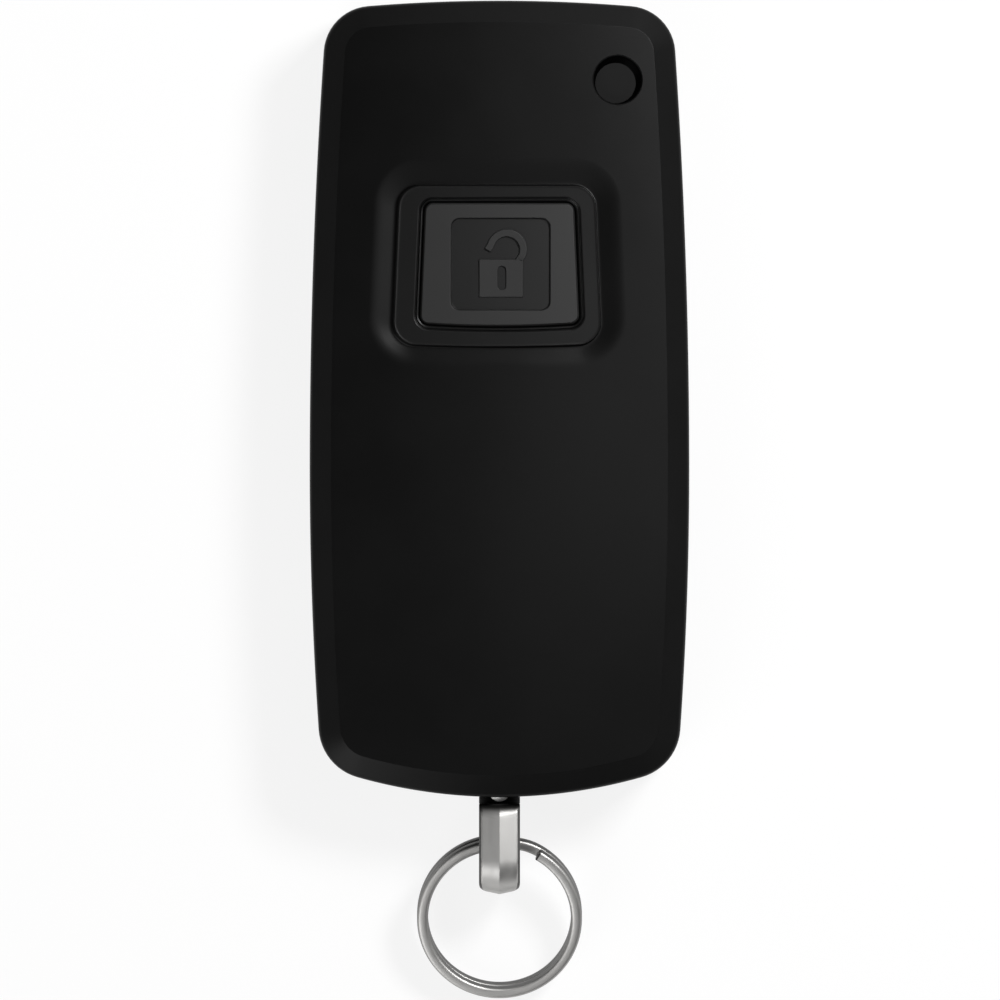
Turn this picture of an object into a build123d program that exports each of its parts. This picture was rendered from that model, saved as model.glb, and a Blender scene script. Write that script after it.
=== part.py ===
from build123d import *

import math
import os

# Door lock remote control: a flat hand-held transmitter with one button, a status lamp and a
# swivelling key loop that carries a split ring. Lengths are millimetres, angles are degrees.
# It lies on its back. +Z leaves the front face, +Y runs to the lamp's end, and +X is to the right
# of someone who looks at the front. The origin is the middle of the flat rear face.

# Housing outline, seen from the front: arcs that run into each other
half_length = 38.8
half_width = 18.5
widest_y = -6.9
upper_side_radius = 610.0
lower_side_radius = 370.0
top_edge_radius = 158.0
bottom_edge_radius = 51.0
top_corner_radius = 4.7
bottom_corner_radius = 5.2

# Housing section
housing_height = 13.0
parting_height = 6.2
crown_cross_radius = 150.0
crown_long_radius = 700.0
front_bevel_width = 2.1
front_bevel_height = 1.7
rear_bevel = 1.4
side_wall = 1.6
front_wall = 1.6
floor_thickness = 1.5
inner_bevel = 0.9
parting_chamfer = 0.2

# Tongue, rebate and gasket of the joint between the shells
tongue_inset = 0.9
tongue_height = 0.9
tongue_gap = 0.08
gasket_height = 0.35

# Button cap, its well and the rim round it
cap_top_width = 14.3
cap_bottom_width = 15.3
cap_top_y = 18.95
cap_bottom_y = 7.45
cap_bow = 0.28
cap_corner_radius = 0.7
cap_edge = 0.12
cap_proud = 0.2
cap_clearance = 0.22
cap_skin = 1.5
cap_lip = 0.9
cap_flange_thickness = 0.8
cap_side_wall = 1.3
cap_inner_radius = 0.5
cap_stop_gap = 0.1
opening_chamfer = 0.25
panel_width = 9.75
panel_height = 9.05
panel_x = 0.1
panel_y = 13.1
panel_corner_radius = 0.9
panel_depth = 0.3
rim_side = 1.85
rim_top = 1.2
rim_bottom = 1.5
rim_corner_radius = 2.0
groove_depth = 0.6
groove_floor_width = 0.7
groove_slope_width = 1.4
groove_slope_height = 0.5
well_depth = 1.8
collar_gap = 0.25
collar_wall = 1.0
collar_root = 0.8

# Status lamp and its window
lamp_side_inset = 7.0
lamp_top_inset = 7.75
lamp_recess_diameter = 4.7
lamp_recess_depth = 0.85
window_fit = 0.05
window_flange_lip = 0.8
window_flange_thickness = 0.7
light_pipe_diameter = 3.0
lamp_length = 2.0
lamp_width = 1.25
lamp_body_height = 0.5
lamp_lens_height = 0.4
lamp_gap = 0.2

# Circuit board and what it carries
board_thickness = 1.0
board_edge_gap = 0.5
board_notch_width = 9.0
board_notch_depth = 6.1
board_screw_hole_diameter = 2.3
controller_size = 5.0
controller_height = 0.9
controller_x = -5.6
controller_y = -2.6
radio_size = 4.0
radio_height = 0.85
radio_x = 4.4
radio_y = -2.6
pin_one_mark_diameter = 0.6
pin_one_mark_depth = 0.1
crystal_length = 3.2
crystal_width = 2.5
crystal_height = 0.8
crystal_y = -8.4
crystal_rim = 0.25
capacitor_length = 1.6
capacitor_width = 0.8
capacitor_height = 0.5
capacitor_pitch = 2.4
capacitor_count = 5
capacitor_rows = (-8.4, -13.2)
capacitor_row_x = -7.6
antenna_wire_diameter = 0.8
antenna_half_span = 9.0
antenna_length = 9.0
antenna_notch_gap = 4.1
antenna_lift = 1.4
antenna_bend_radius = 1.2

# Tactile switch under the button
switch_size = 6.0
switch_cavity_diameter = 4.8
switch_cover_thickness = 0.2
switch_cover_hole_diameter = 3.6
plunger_diameter = 3.4
plunger_proud = 0.5
plunger_foot_diameter = 4.3
plunger_foot_thickness = 0.35
plunger_gap = 0.02
dome_diameter = 4.5
dome_rise = 0.35
dome_sheet = 0.1
terminal_width = 0.7
terminal_height = 1.5
terminal_sheet = 0.2
terminal_foot = 1.0
terminal_pitch = 4.5

# Silicone membrane over the switch
membrane_sheet = 0.6
membrane_foot = 0.9
membrane_top_half = 4.2
membrane_root_half = 6.2
membrane_pad_diameter = 5.0
membrane_pad_height = 0.94
membrane_gap = 0.02

# Coin cell and its contacts
cell_diameter = 20.0
cell_height = 3.2
cell_y = -10.5
cell_corner_radius = 0.5
cell_lid_diameter = 16.2
cell_lid_depth = 1.0
cell_seal_width = 0.4
clip_sheet = 0.3
clip_width = 5.0
clip_clearance = 0.1
contact_height = 0.3
contact_diameter = 8.0
contact_sheet = 0.2
contact_tab_width = 2.4
contact_tab_length = 7.0
cradle_gap = 0.3
cradle_wall = 1.0
cradle_height = 2.6
slot_gap = 0.2

# Case screws and their bosses
screw_upper_side_inset = 5.2
screw_upper_end_inset = 16.8
screw_lower_side_inset = 5.6
screw_lower_end_inset = 8.4
screw_diameter = 2.0
screw_head_diameter = 3.4
screw_head_height = 1.2
screw_length = 7.6
screw_recess_depth = 2.0
screw_recess_gap = 0.15
screw_slot_width = 0.5
screw_slot_depth = 0.5
screw_gap = 0.03
boss_diameter = 4.8

# Swivel between the housing and the key loop
collar_diameter = 4.0
collar_length = 0.63
bush_diameter = 3.2
bush_fit = 0.04
bush_flange_diameter = 4.6
bush_flange_length = 0.7
bush_seat_gap = 0.06
pin_diameter = 1.8
pin_running_gap = 0.03
pin_head_diameter = 3.2
pin_head_length = 0.8
pin_tail = 0.5
clip_groove_diameter = 1.3
clip_groove_length = 0.4
retaining_clip_diameter = 3.8
retaining_clip_play = 0.03
retaining_clip_mouth = 1.0
swivel_gap = 0.05

# Key loop: a ridged strand bent round an eye
loop_width = 4.0
loop_length = 8.5
loop_depth = 6.8
loop_strand = 1.1
loop_ridge = 0.33
loop_edge = 0.28
loop_near_radius = 1.0
loop_far_radius = 2.9
loop_eye_corner = 0.3

# Split ring: two turns of wire that cross over beside the loop
ring_diameter = 16.1
wire_width = 1.08
wire_height = 1.3
wire_corner = 0.38
turn_gap = 0.1
ring_rest_gap = 0.05
ring_eye_gap = 0.26
ring_hang = 3.78
step_angle = 56.0
crossover_span = 24.0
crossover_sections = 7

# Heights and places that follow from the sizes above
board_bottom = floor_thickness + clip_sheet + cell_height + contact_height
board_top = board_bottom + board_thickness
screw_seat = screw_recess_depth
lamp_x = half_width - lamp_side_inset
lamp_y = half_length - lamp_top_inset
well_ceiling = housing_height - well_depth
flange_low = well_ceiling - cap_stop_gap - cap_flange_thickness
button_y = (cap_top_y + cap_bottom_y) / 2
crown_fall = crown_long_radius - math.sqrt(crown_long_radius**2 - button_y**2)
cap_ceiling = housing_height - crown_fall + cap_proud - cap_skin
membrane_under = cap_ceiling - membrane_gap - membrane_pad_height - membrane_sheet
plunger_top = membrane_under - membrane_gap
switch_top = plunger_top - plunger_proud
switch_base_top = switch_top - switch_cover_thickness
switch_cavity_depth = plunger_gap + plunger_foot_thickness + dome_rise + dome_sheet
inner_end_y = -(half_length - side_wall)
board_notch_top = inner_end_y + board_edge_gap + board_notch_depth
antenna_far_y = board_notch_top + antenna_notch_gap
bush_flange_y = inner_end_y + bush_seat_gap
loop_near_y = -(half_length + collar_length + swivel_gap)
eye_floor = parting_height - loop_depth / 2 + loop_strand
wire_centre_radius = (ring_diameter - wire_width) / 2
droop_rise = (eye_floor + ring_eye_gap - ring_rest_gap) / (2 * wire_centre_radius)
droop_run = math.sqrt(1 - droop_rise**2)
ring_centre_y = loop_near_y - ring_hang - wire_centre_radius * droop_run
ring_half_stack = wire_height + turn_gap / 2
ring_centre_z = ring_rest_gap + ring_half_stack * droop_run + ring_diameter / 2 * droop_rise
above = housing_height + front_wall
full_turn = 360.0
up = (0, 0, 1)


def prism(face, low, high):
    """A flat outline carried straight up from low to high."""
    return extrude(Pos(0, 0, low) * face, amount=high - low, dir=up)


def disc(diameter, low, high, x=0.0, y=0.0):
    """An upright round slug."""
    return prism(Pos(x, y, 0) * Circle(diameter / 2), low, high)


def block(width, depth, low, high, x=0.0, y=0.0):
    """An upright rectangular slug."""
    return prism(Pos(x, y, 0) * Rectangle(width, depth), low, high)


def lying_disc(diameter, near_y, far_y):
    """A round slug on the swivel's axis, from near_y outwards to far_y."""
    seat = Plane(origin=(0, near_y, parting_height), z_dir=(0, -1, 0))
    return extrude(seat * Circle(diameter / 2), amount=near_y - far_y)


def flip(point):
    """The same point on the left of the housing."""
    return Vector(-point.X, point.Y, point.Z)


def circles_meet(centre_a, radius_a, centre_b, radius_b, side):
    """Where two circles cross, to the left (1) or right (-1) of the way from a to b."""
    gap = centre_b - centre_a
    along = (radius_a**2 - radius_b**2 + gap.length**2) / (2 * gap.length)
    across = math.sqrt(radius_a**2 - along**2)
    way = gap.normalized()
    return centre_a + way * along + Vector(-way.Y, way.X) * across * side


def outline_arcs():
    """Centres and radii of the outline's arcs, from the top edge down the right side."""
    top = Vector(0, half_length - top_edge_radius)
    bottom = Vector(0, bottom_edge_radius - half_length)
    upper_side = Vector(half_width - upper_side_radius, widest_y)
    lower_side = Vector(half_width - lower_side_radius, widest_y)
    top_corner = circles_meet(
        upper_side, upper_side_radius - top_corner_radius, top, top_edge_radius - top_corner_radius, 1
    )
    bottom_corner = circles_meet(
        lower_side,
        lower_side_radius - bottom_corner_radius,
        bottom,
        bottom_edge_radius - bottom_corner_radius,
        -1,
    )
    return [
        (top, top_edge_radius),
        (top_corner, top_corner_radius),
        (upper_side, upper_side_radius),
        (lower_side, lower_side_radius),
        (bottom_corner, bottom_corner_radius),
        (bottom, bottom_edge_radius),
    ]


def arc_round(centre, start, finish):
    """The shorter arc from start to finish about a centre."""
    first = start - centre
    last = finish - centre
    middle = centre + (first.normalized() + last.normalized()).normalized() * first.length
    return ThreePointArc(start, middle, finish)


def touch_point(arc_a, arc_b, inset):
    """Where two arcs of the outline run into each other, once both are drawn in by inset."""
    small, large = sorted((arc_a, arc_b), key=lambda arc: arc[1])
    way = (small[0] - large[0]).normalized()
    return large[0] + way * (large[1] - inset)


def housing_face(inset=0.0):
    """The housing's outline, drawn in by inset, as a flat face."""
    arcs = outline_arcs()
    touches = [touch_point(a, b, inset) for a, b in zip(arcs, arcs[1:])]
    edges = [
        arc_round(arcs[0][0], flip(touches[0]), touches[0]),
        arc_round(arcs[-1][0], touches[-1], flip(touches[-1])),
    ]
    for (centre, _), start, finish in zip(arcs[1:-1], touches, touches[1:]):
        edges.append(arc_round(centre, start, finish))
        edges.append(arc_round(flip(centre), flip(start), flip(finish)))
    return make_face(edges)


def crown_block(drop=0.0):
    """Everything under the crowned front face, or under a surface that lies drop beneath it."""
    reach = half_length + side_wall
    radius = crown_long_radius - drop
    centre = Vector(0, 0, housing_height - crown_long_radius)
    edge_height = centre.Z + math.sqrt(radius**2 - reach**2)
    axis_height = housing_height - crown_cross_radius
    corners = [
        Vector(0, -reach, edge_height),
        Vector(0, -reach, axis_height),
        Vector(0, reach, axis_height),
        Vector(0, reach, edge_height),
    ]
    sides = [Line(a, b) for a, b in zip(corners, corners[1:])]
    arch = ThreePointArc(corners[0], Vector(0, 0, housing_height - drop), corners[-1])
    axis = Axis((0, 0, axis_height), (0, 1, 0))
    half_sweep = math.degrees(math.asin((half_width + side_wall) / (crown_cross_radius - drop)))
    profile = make_face([arch, *sides]).rotate(axis, -half_sweep)
    return revolve(profile, axis, 2 * half_sweep)


def bevelled_body(inset, low, drop, bevel_width, bevel_height):
    """The outline carried up to the crown, with a bevel all round the crown's edge."""
    body = prism(housing_face(inset), low, above) & crown_block(drop)
    crown = body.faces().sort_by(Axis.Z)[-1]
    return chamfer(crown.edges(), length=bevel_width, length2=bevel_height, reference=crown)


def cap_face(side=0.0, top=0.0, bottom=0.0, radius=cap_corner_radius):
    """The button's outline, let out by the three margins: straight top, leaning sides, bowed foot."""
    lean = (cap_bottom_width - cap_top_width) / (cap_top_y - cap_bottom_y) / 2
    top_half = cap_top_width / 2 + side - lean * top
    bottom_half = cap_bottom_width / 2 + side + lean * bottom
    top_y = cap_top_y + top
    bottom_y = cap_bottom_y - bottom
    foot = ThreePointArc((-bottom_half, bottom_y), (0, bottom_y - cap_bow), (bottom_half, bottom_y))
    face = make_face(
        [
            foot,
            Line((bottom_half, bottom_y), (top_half, top_y)),
            Line((top_half, top_y), (-top_half, top_y)),
            Line((-top_half, top_y), (-bottom_half, bottom_y)),
        ]
    )
    return fillet(face.vertices(), radius)


def even_cap_face(margin):
    """The button's outline, let out by one margin all round, its corners growing with it."""
    return cap_face(margin, margin, margin, cap_corner_radius + margin)


def screw_places():
    """Where the four case screws stand: a wide pair by the lamp, a narrower pair by the swivel."""
    upper_x = half_width - screw_upper_side_inset
    upper_y = half_length - screw_upper_end_inset
    lower_x = half_width - screw_lower_side_inset
    lower_y = screw_lower_end_inset - half_length
    return [(upper_x, upper_y), (-upper_x, upper_y), (lower_x, lower_y), (-lower_x, lower_y)]


def crown_height_at(x, y):
    """Height of the crown above a point."""
    long_drop = crown_long_radius - math.sqrt(crown_long_radius**2 - y**2)
    arm = crown_cross_radius - long_drop
    return housing_height - crown_cross_radius + math.sqrt(arm**2 - x**2)


def bush_bore():
    """The round way that the swivel bush takes through the end wall."""
    return lying_disc(bush_diameter + 2 * bush_fit, inner_end_y + side_wall, -(half_length + side_wall))


def bush_room():
    """The round room behind the end wall that the bush's flange takes in a thinner housing."""
    room_end = bush_flange_y + bush_flange_length + bush_fit
    return lying_disc(bush_flange_diameter + 2 * bush_fit, room_end, bush_flange_y)


def joint_ring(inset, low, high):
    """A ring that follows the wall's inner part, open where the swivel bush passes."""
    return prism(housing_face(inset) - housing_face(side_wall), low, high) - bush_bore()


def crown_face(body):
    """The crowned front face, with whatever has been cut out of it."""
    return body.faces().filter_by(GeomType.REVOLUTION).sort_by(SortBy.AREA)[-1]


def rim_groove(shell):
    """Cuts the soft channel that sets off the rim round the button, and slopes its outer side."""
    opening = cap_edge + cap_clearance
    rim = cap_face(opening + rim_side, opening + rim_top, opening + rim_bottom, rim_corner_radius)
    grown = opening + groove_floor_width
    outer = cap_face(
        grown + rim_side, grown + rim_top, grown + rim_bottom, rim_corner_radius + groove_floor_width
    )
    shell -= prism(outer - rim, parting_height, above) - crown_block(groove_depth)
    crown = crown_face(shell)
    edges = crown.inner_wires()[0].edges()
    return chamfer(edges, length=groove_slope_width, length2=groove_slope_height, reference=crown)


def front_shell():
    opening = cap_edge + cap_clearance
    inside = opening + cap_lip + collar_gap
    body = bevelled_body(0.0, parting_height, 0.0, front_bevel_width, front_bevel_height)
    body = chamfer(body.faces().sort_by(Axis.Z)[0].edges(), parting_chamfer)
    body -= prism(even_cap_face(opening), parting_height, above)
    body = chamfer(crown_face(body).inner_wires()[0].edges(), opening_chamfer)
    shell = rim_groove(body)
    shell -= bevelled_body(side_wall, parting_height, front_wall, inner_bevel, inner_bevel)
    collar_plan = even_cap_face(inside + collar_wall) - even_cap_face(opening)
    shell += prism(collar_plan, board_top + membrane_foot, above) & crown_block(front_wall - collar_root)
    for x, y in screw_places():
        shell += disc(boss_diameter, board_top, above, x, y) & crown_block(front_wall - collar_root)
    shell -= prism(even_cap_face(inside), parting_height, well_ceiling)
    joint_top = parting_height + tongue_height + gasket_height
    rebate = housing_face(tongue_inset - tongue_gap) - housing_face(side_wall)
    shell -= prism(rebate, parting_height, joint_top)
    pilot_top = screw_seat + screw_length + screw_gap
    for x, y in screw_places():
        shell -= disc(screw_diameter + 2 * screw_gap, board_top, pilot_top, x, y)
    shell -= disc(lamp_recess_diameter, parting_height, above, lamp_x, lamp_y)
    return shell - bush_bore() - bush_room()


def rear_shell():
    body = prism(housing_face(), 0, parting_height)
    body = chamfer(body.faces().sort_by(Axis.Z)[0].edges(), rear_bevel)
    body = chamfer(body.faces().sort_by(Axis.Z)[-1].edges(), parting_chamfer)
    shell = body - prism(housing_face(side_wall), floor_thickness, parting_height)
    shell += prism(
        housing_face(tongue_inset) - housing_face(side_wall), parting_height, parting_height + tongue_height
    )
    cradle_bore = cell_diameter + 2 * cradle_gap
    cradle_top = floor_thickness + cradle_height
    cradle = disc(cradle_bore + 2 * cradle_wall, floor_thickness, cradle_top, 0, cell_y)
    cradle -= disc(cradle_bore, floor_thickness, cradle_top, 0, cell_y)
    cradle -= block(2 * half_width, clip_width + 2 * slot_gap, floor_thickness, cradle_top, 0, cell_y)
    shell += cradle
    for x, y in screw_places():
        shell += disc(boss_diameter, floor_thickness, board_bottom, x, y)
        shell -= disc(screw_head_diameter + 2 * screw_recess_gap, 0, screw_recess_depth, x, y)
        shell -= disc(screw_diameter + 2 * screw_gap, 0, board_bottom, x, y)
    return shell - bush_bore()


def case_gasket():
    low = parting_height + tongue_height
    return joint_ring(tongue_inset, low, low + gasket_height)


def case_screws():
    """Four pan-head screws with a cross recess."""
    screws = []
    head_low = screw_seat - screw_head_height
    for x, y in screw_places():
        screw = disc(screw_head_diameter, head_low, screw_seat, x, y)
        screw = chamfer(screw.faces().sort_by(Axis.Z)[0].edges(), screw_slot_depth / 2)
        screw += disc(screw_diameter, screw_seat, screw_seat + screw_length, x, y)
        recess_top = head_low + screw_slot_depth
        screw -= block(screw_slot_width, screw_diameter, head_low, recess_top, x, y)
        screw -= block(screw_diameter, screw_slot_width, head_low, recess_top, x, y)
        screws.append(screw)
    return screws


def button_cap():
    body = prism(even_cap_face(cap_edge), flange_low, above) & crown_block(-cap_proud)
    top = body.faces().sort_by(Axis.Z)[-1]
    cap = chamfer(top.edges(), cap_edge)
    lip = cap_edge + cap_clearance + cap_lip
    cap += prism(even_cap_face(lip), flange_low, flange_low + cap_flange_thickness)
    panel = Pos(panel_x, panel_y) * RectangleRounded(panel_width, panel_height, panel_corner_radius)
    cap -= prism(panel, cap_ceiling, above) - crown_block(panel_depth - cap_proud)
    draw = cap_edge - cap_side_wall
    return cap - prism(cap_face(draw, draw, draw, cap_inner_radius), flange_low, cap_ceiling)


def tapered_hood(grow, low, high):
    """A square hood over the switch that narrows upwards."""
    root = 2 * (membrane_root_half + grow)
    top = 2 * (membrane_top_half + grow)
    foot = Pos(0, button_y, low) * Rectangle(root, root)
    return loft([foot, Pos(0, button_y, high) * Rectangle(top, top)])


def button_membrane():
    rim = cap_edge + cap_clearance + cap_lip + collar_gap + collar_wall
    foot = prism(even_cap_face(rim), board_top, board_top + membrane_foot)
    pad_low = membrane_under + membrane_sheet
    mat = foot + tapered_hood(0, board_top, pad_low)
    mat -= tapered_hood(-membrane_sheet, board_top, membrane_under)
    return mat + disc(membrane_pad_diameter, pad_low, pad_low + membrane_pad_height, 0, button_y)


def switch_base():
    base = block(switch_size, switch_size, board_top, switch_base_top, 0, button_y)
    cavity_floor = switch_base_top - switch_cavity_depth
    return base - disc(switch_cavity_diameter, cavity_floor, switch_base_top, 0, button_y)


def switch_cover():
    plate = block(switch_size, switch_size, switch_base_top, switch_top, 0, button_y)
    return plate - disc(switch_cover_hole_diameter, switch_base_top, switch_top, 0, button_y)


def switch_dome():
    """A thin spring dome on the floor of the switch's cavity."""
    half = dome_diameter / 2
    low = switch_base_top - switch_cavity_depth
    radius = (half**2 + dome_rise**2) / (2 * dome_rise)
    middle = half / 2
    middle_rise = dome_rise - radius + math.sqrt(radius**2 - middle**2)
    lower = ThreePointArc((0, 0, dome_rise), (middle, 0, middle_rise), (half, 0, 0))
    upper = Pos(0, 0, dome_sheet) * lower
    rim = Line((half, 0, 0), (half, 0, dome_sheet))
    crown = Line((0, 0, dome_rise), (0, 0, dome_rise + dome_sheet))
    return Pos(0, button_y, low) * revolve(make_face([lower, upper, rim, crown]), Axis.Z)


def switch_plunger():
    foot_top = switch_base_top - plunger_gap
    plunger = disc(plunger_foot_diameter, foot_top - plunger_foot_thickness, foot_top, 0, button_y)
    return plunger + disc(plunger_diameter, foot_top, plunger_top, 0, button_y)


def switch_terminals():
    """Four bent legs that stand on the board beside the switch."""
    legs = []
    for x_side in (-1, 1):
        for y_side in (-1, 1):
            near = x_side * switch_size / 2
            leg = Polyline(
                (near, 0, 0),
                (near + x_side * (terminal_foot + terminal_sheet), 0, 0),
                (near + x_side * (terminal_foot + terminal_sheet), 0, terminal_sheet),
                (near + x_side * terminal_sheet, 0, terminal_sheet),
                (near + x_side * terminal_sheet, 0, terminal_height),
                (near, 0, terminal_height),
                (near, 0, 0),
            )
            y = button_y + y_side * terminal_pitch / 2 + terminal_width / 2
            face = Pos(0, y, board_top) * make_face(leg)
            legs.append(extrude(face, amount=terminal_width, dir=(0, -1, 0)))
    return legs


def led_window():
    """The dark window in the lamp's recess, with its flange under the wall and its light pipe."""
    crown = crown_height_at(lamp_x, lamp_y)
    floor = crown - lamp_recess_depth
    flange_diameter = lamp_recess_diameter + 2 * window_flange_lip
    flange_bottom = crown - front_wall - window_flange_thickness
    window = disc(flange_diameter, flange_bottom, above, lamp_x, lamp_y)
    window &= crown_block(front_wall + window_fit)
    window += disc(lamp_recess_diameter - 2 * window_fit, flange_bottom, floor, lamp_x, lamp_y)
    pipe_low = board_top + lamp_body_height + lamp_lens_height + lamp_gap
    return window + disc(light_pipe_diameter, pipe_low, flange_bottom, lamp_x, lamp_y)


def status_led():
    top = board_top + lamp_body_height
    lamp = block(lamp_length, lamp_width, board_top, top, lamp_x, lamp_y)
    return lamp + disc(lamp_width, top, top + lamp_lens_height, lamp_x, lamp_y)


def clip_leg_centre():
    return cell_diameter / 2 + clip_clearance + clip_sheet / 2


def circuit_board():
    board = prism(housing_face(side_wall + board_edge_gap), board_bottom, board_top)
    notch_y = board_notch_top - half_length / 2
    board -= block(board_notch_width, half_length, board_bottom, board_top, 0, notch_y)
    for x, y in screw_places():
        board -= disc(board_screw_hole_diameter, board_bottom, board_top, x, y)
    for side in (-1, 1):
        board -= block(
            clip_sheet + 2 * slot_gap,
            clip_width + 2 * slot_gap,
            board_bottom,
            board_top,
            side * clip_leg_centre(),
            cell_y,
        )
    return board


def chip(x, y, size, height):
    """A flat square chip with a round mark by its first contact."""
    body = block(size, size, board_top, board_top + height, x, y)
    mark = size / 2 - pin_one_mark_diameter
    top = board_top + height
    return body - disc(pin_one_mark_diameter, top - pin_one_mark_depth, top, x - mark, y + mark)


def controller_chip():
    return chip(controller_x, controller_y, controller_size, controller_height)


def radio_chip():
    return chip(radio_x, radio_y, radio_size, radio_height)


def crystal():
    """A flat metal can on a wider rim."""
    rim_top = board_top + crystal_rim
    can = block(crystal_length, crystal_width, board_top, rim_top, radio_x, crystal_y)
    length = crystal_length - 2 * crystal_rim
    width = crystal_width - 2 * crystal_rim
    return can + block(length, width, rim_top, board_top + crystal_height, radio_x, crystal_y)


def chip_capacitors():
    """Rows of small blocks between the chips."""
    blocks = []
    for y in capacitor_rows:
        for step in range(capacitor_count):
            x = capacitor_row_x + step * capacitor_pitch
            blocks.append(
                block(capacitor_width, capacitor_length, board_top, board_top + capacitor_height, x, y)
            )
    return blocks


def antenna_loop():
    """A bent wire that stands on two feet over the board's lower end, above its notch."""
    height = board_top + antenna_lift
    x = antenna_half_span
    feet_y = antenna_far_y + antenna_length
    path = FilletPolyline(
        (-x, feet_y, board_top),
        (-x, feet_y, height),
        (-x, antenna_far_y, height),
        (x, antenna_far_y, height),
        (x, feet_y, height),
        (x, feet_y, board_top),
        radius=antenna_bend_radius,
    )
    start = Plane(origin=path @ 0, z_dir=path % 0)
    return sweep(start * Circle(antenna_wire_diameter / 2), path)


def cell_low():
    return floor_thickness + clip_sheet


def battery_can():
    """The cell's can, with its rounded foot and the seat of the seal and lid."""
    low = cell_low()
    can = disc(cell_diameter, low, low + cell_height, 0, cell_y)
    can = fillet(can.faces().sort_by(Axis.Z)[0].edges(), cell_corner_radius)
    seat = cell_lid_diameter + 2 * cell_seal_width
    return can - disc(seat, low + cell_height - cell_lid_depth, low + cell_height, 0, cell_y)


def battery_seal():
    high = cell_low() + cell_height
    outer = cell_lid_diameter + 2 * cell_seal_width
    low = high - cell_lid_depth
    return disc(outer, low, high, 0, cell_y) - disc(cell_lid_diameter, low, high, 0, cell_y)


def battery_lid():
    high = cell_low() + cell_height
    return disc(cell_lid_diameter, high - cell_lid_depth, high, 0, cell_y)


def battery_clip():
    """A strap under the cell whose legs rise through the board."""
    inner = cell_diameter + 2 * clip_clearance
    height = board_top + clip_sheet - floor_thickness
    outer = inner + 2 * clip_sheet
    face = Pos(0, height / 2) * Rectangle(outer, height)
    face = fillet(face.vertices().group_by(Axis.Y)[0], clip_sheet)
    face -= Pos(0, clip_sheet + height / 2) * Rectangle(inner, height)
    side = Plane(origin=(0, cell_y + clip_width / 2, floor_thickness), x_dir=(-1, 0, 0), z_dir=(0, 1, 0))
    return extrude(side * face, amount=-clip_width)


def battery_contact():
    """A plate under the board with a tab and a dimple that presses on the cell's lid."""
    plate_low = board_bottom - contact_sheet
    contact = disc(contact_diameter, plate_low, board_bottom, 0, cell_y)
    tab_y = cell_y + contact_tab_length / 2
    contact += block(contact_tab_width, contact_tab_length, plate_low, board_bottom, 0, tab_y)
    return contact + disc(contact_tab_width, board_bottom - contact_height, plate_low, 0, cell_y)


def swivel_bush():
    """The black bush in the end wall: its outer end is the collar under the key loop."""
    bush = lying_disc(bush_flange_diameter, bush_flange_y + bush_flange_length, bush_flange_y)
    bush += lying_disc(bush_diameter, bush_flange_y, -half_length)
    bush += lying_disc(collar_diameter, -half_length, -half_length - collar_length)
    return bush - lying_disc(pin_diameter + 2 * pin_running_gap, 0, loop_near_y)


def clip_near_y():
    return bush_flange_y + bush_flange_length + retaining_clip_play


def swivel_pin():
    """The pin that the loop hangs on, with its head in the eye and a groove for its clip."""
    head_y = loop_near_y - loop_strand
    groove_y = clip_near_y()
    groove_end = groove_y + clip_groove_length
    head = lying_disc(pin_head_diameter, head_y, head_y - pin_head_length)
    pin = fillet(head.edges().sort_by(Axis.Y)[0], pin_head_length / 3)
    pin += lying_disc(pin_diameter, groove_y, head_y)
    pin += lying_disc(clip_groove_diameter, groove_end, groove_y)
    return pin + lying_disc(pin_diameter, groove_end + pin_tail, groove_end)


def retaining_clip():
    """An open ring in the pin's groove."""
    near = clip_near_y()
    far = near + clip_groove_length
    ring = lying_disc(retaining_clip_diameter, far, near)
    ring -= lying_disc(clip_groove_diameter, far, near)
    mouth_y = (near + far) / 2
    return ring - block(
        retaining_clip_mouth, 2 * clip_groove_length, parting_height, above, 0, mouth_y
    )


def loop_face(x, grow, near_radius, far_radius):
    """The loop's outline in its own upright plane at x, let out by grow."""
    seat = Plane(origin=(x, loop_near_y, parting_height), x_dir=(0, -1, 0), z_dir=(-1, 0, 0))
    face = Pos(loop_length / 2, 0) * Rectangle(loop_length + 2 * grow, loop_depth + 2 * grow)
    face = fillet(face.vertices().group_by(Axis.X)[0], near_radius + grow)
    face = fillet(face.vertices().group_by(Axis.X)[-1], far_radius + grow)
    return seat * face


def swivel_loop():
    """A strand with a ridge round its outside, bent round an eye and bored for the pin."""
    half = loop_width / 2
    grows = {-half: -loop_edge, loop_edge - half: 0, 0: loop_ridge, half - loop_edge: 0, half: -loop_edge}
    sections = [loop_face(x, grow, loop_near_radius, loop_far_radius) for x, grow in grows.items()]
    loop = loft(sections, ruled=True)
    eye = loop_face(half, -loop_strand, loop_eye_corner + loop_strand, loop_far_radius)
    loop -= extrude(eye, amount=loop_width)
    ridge_end = block(loop_width, 2 * loop_ridge, 0, above, 0, loop_near_y + loop_ridge)
    loop -= ridge_end
    return loop - lying_disc(pin_diameter + 2 * pin_running_gap, 0, loop_near_y - loop_strand)


def ring_section(angle, level):
    """The wire's section at an angle round the ring, at a level of its stack."""
    radial = Vector(math.cos(math.radians(angle)), math.sin(math.radians(angle)))
    along = Vector(-radial.Y, radial.X)
    seat = Plane(origin=radial * wire_centre_radius + Vector(0, 0, level), x_dir=radial, z_dir=along)
    return seat * RectangleRounded(wire_width, wire_height, wire_corner)


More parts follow.
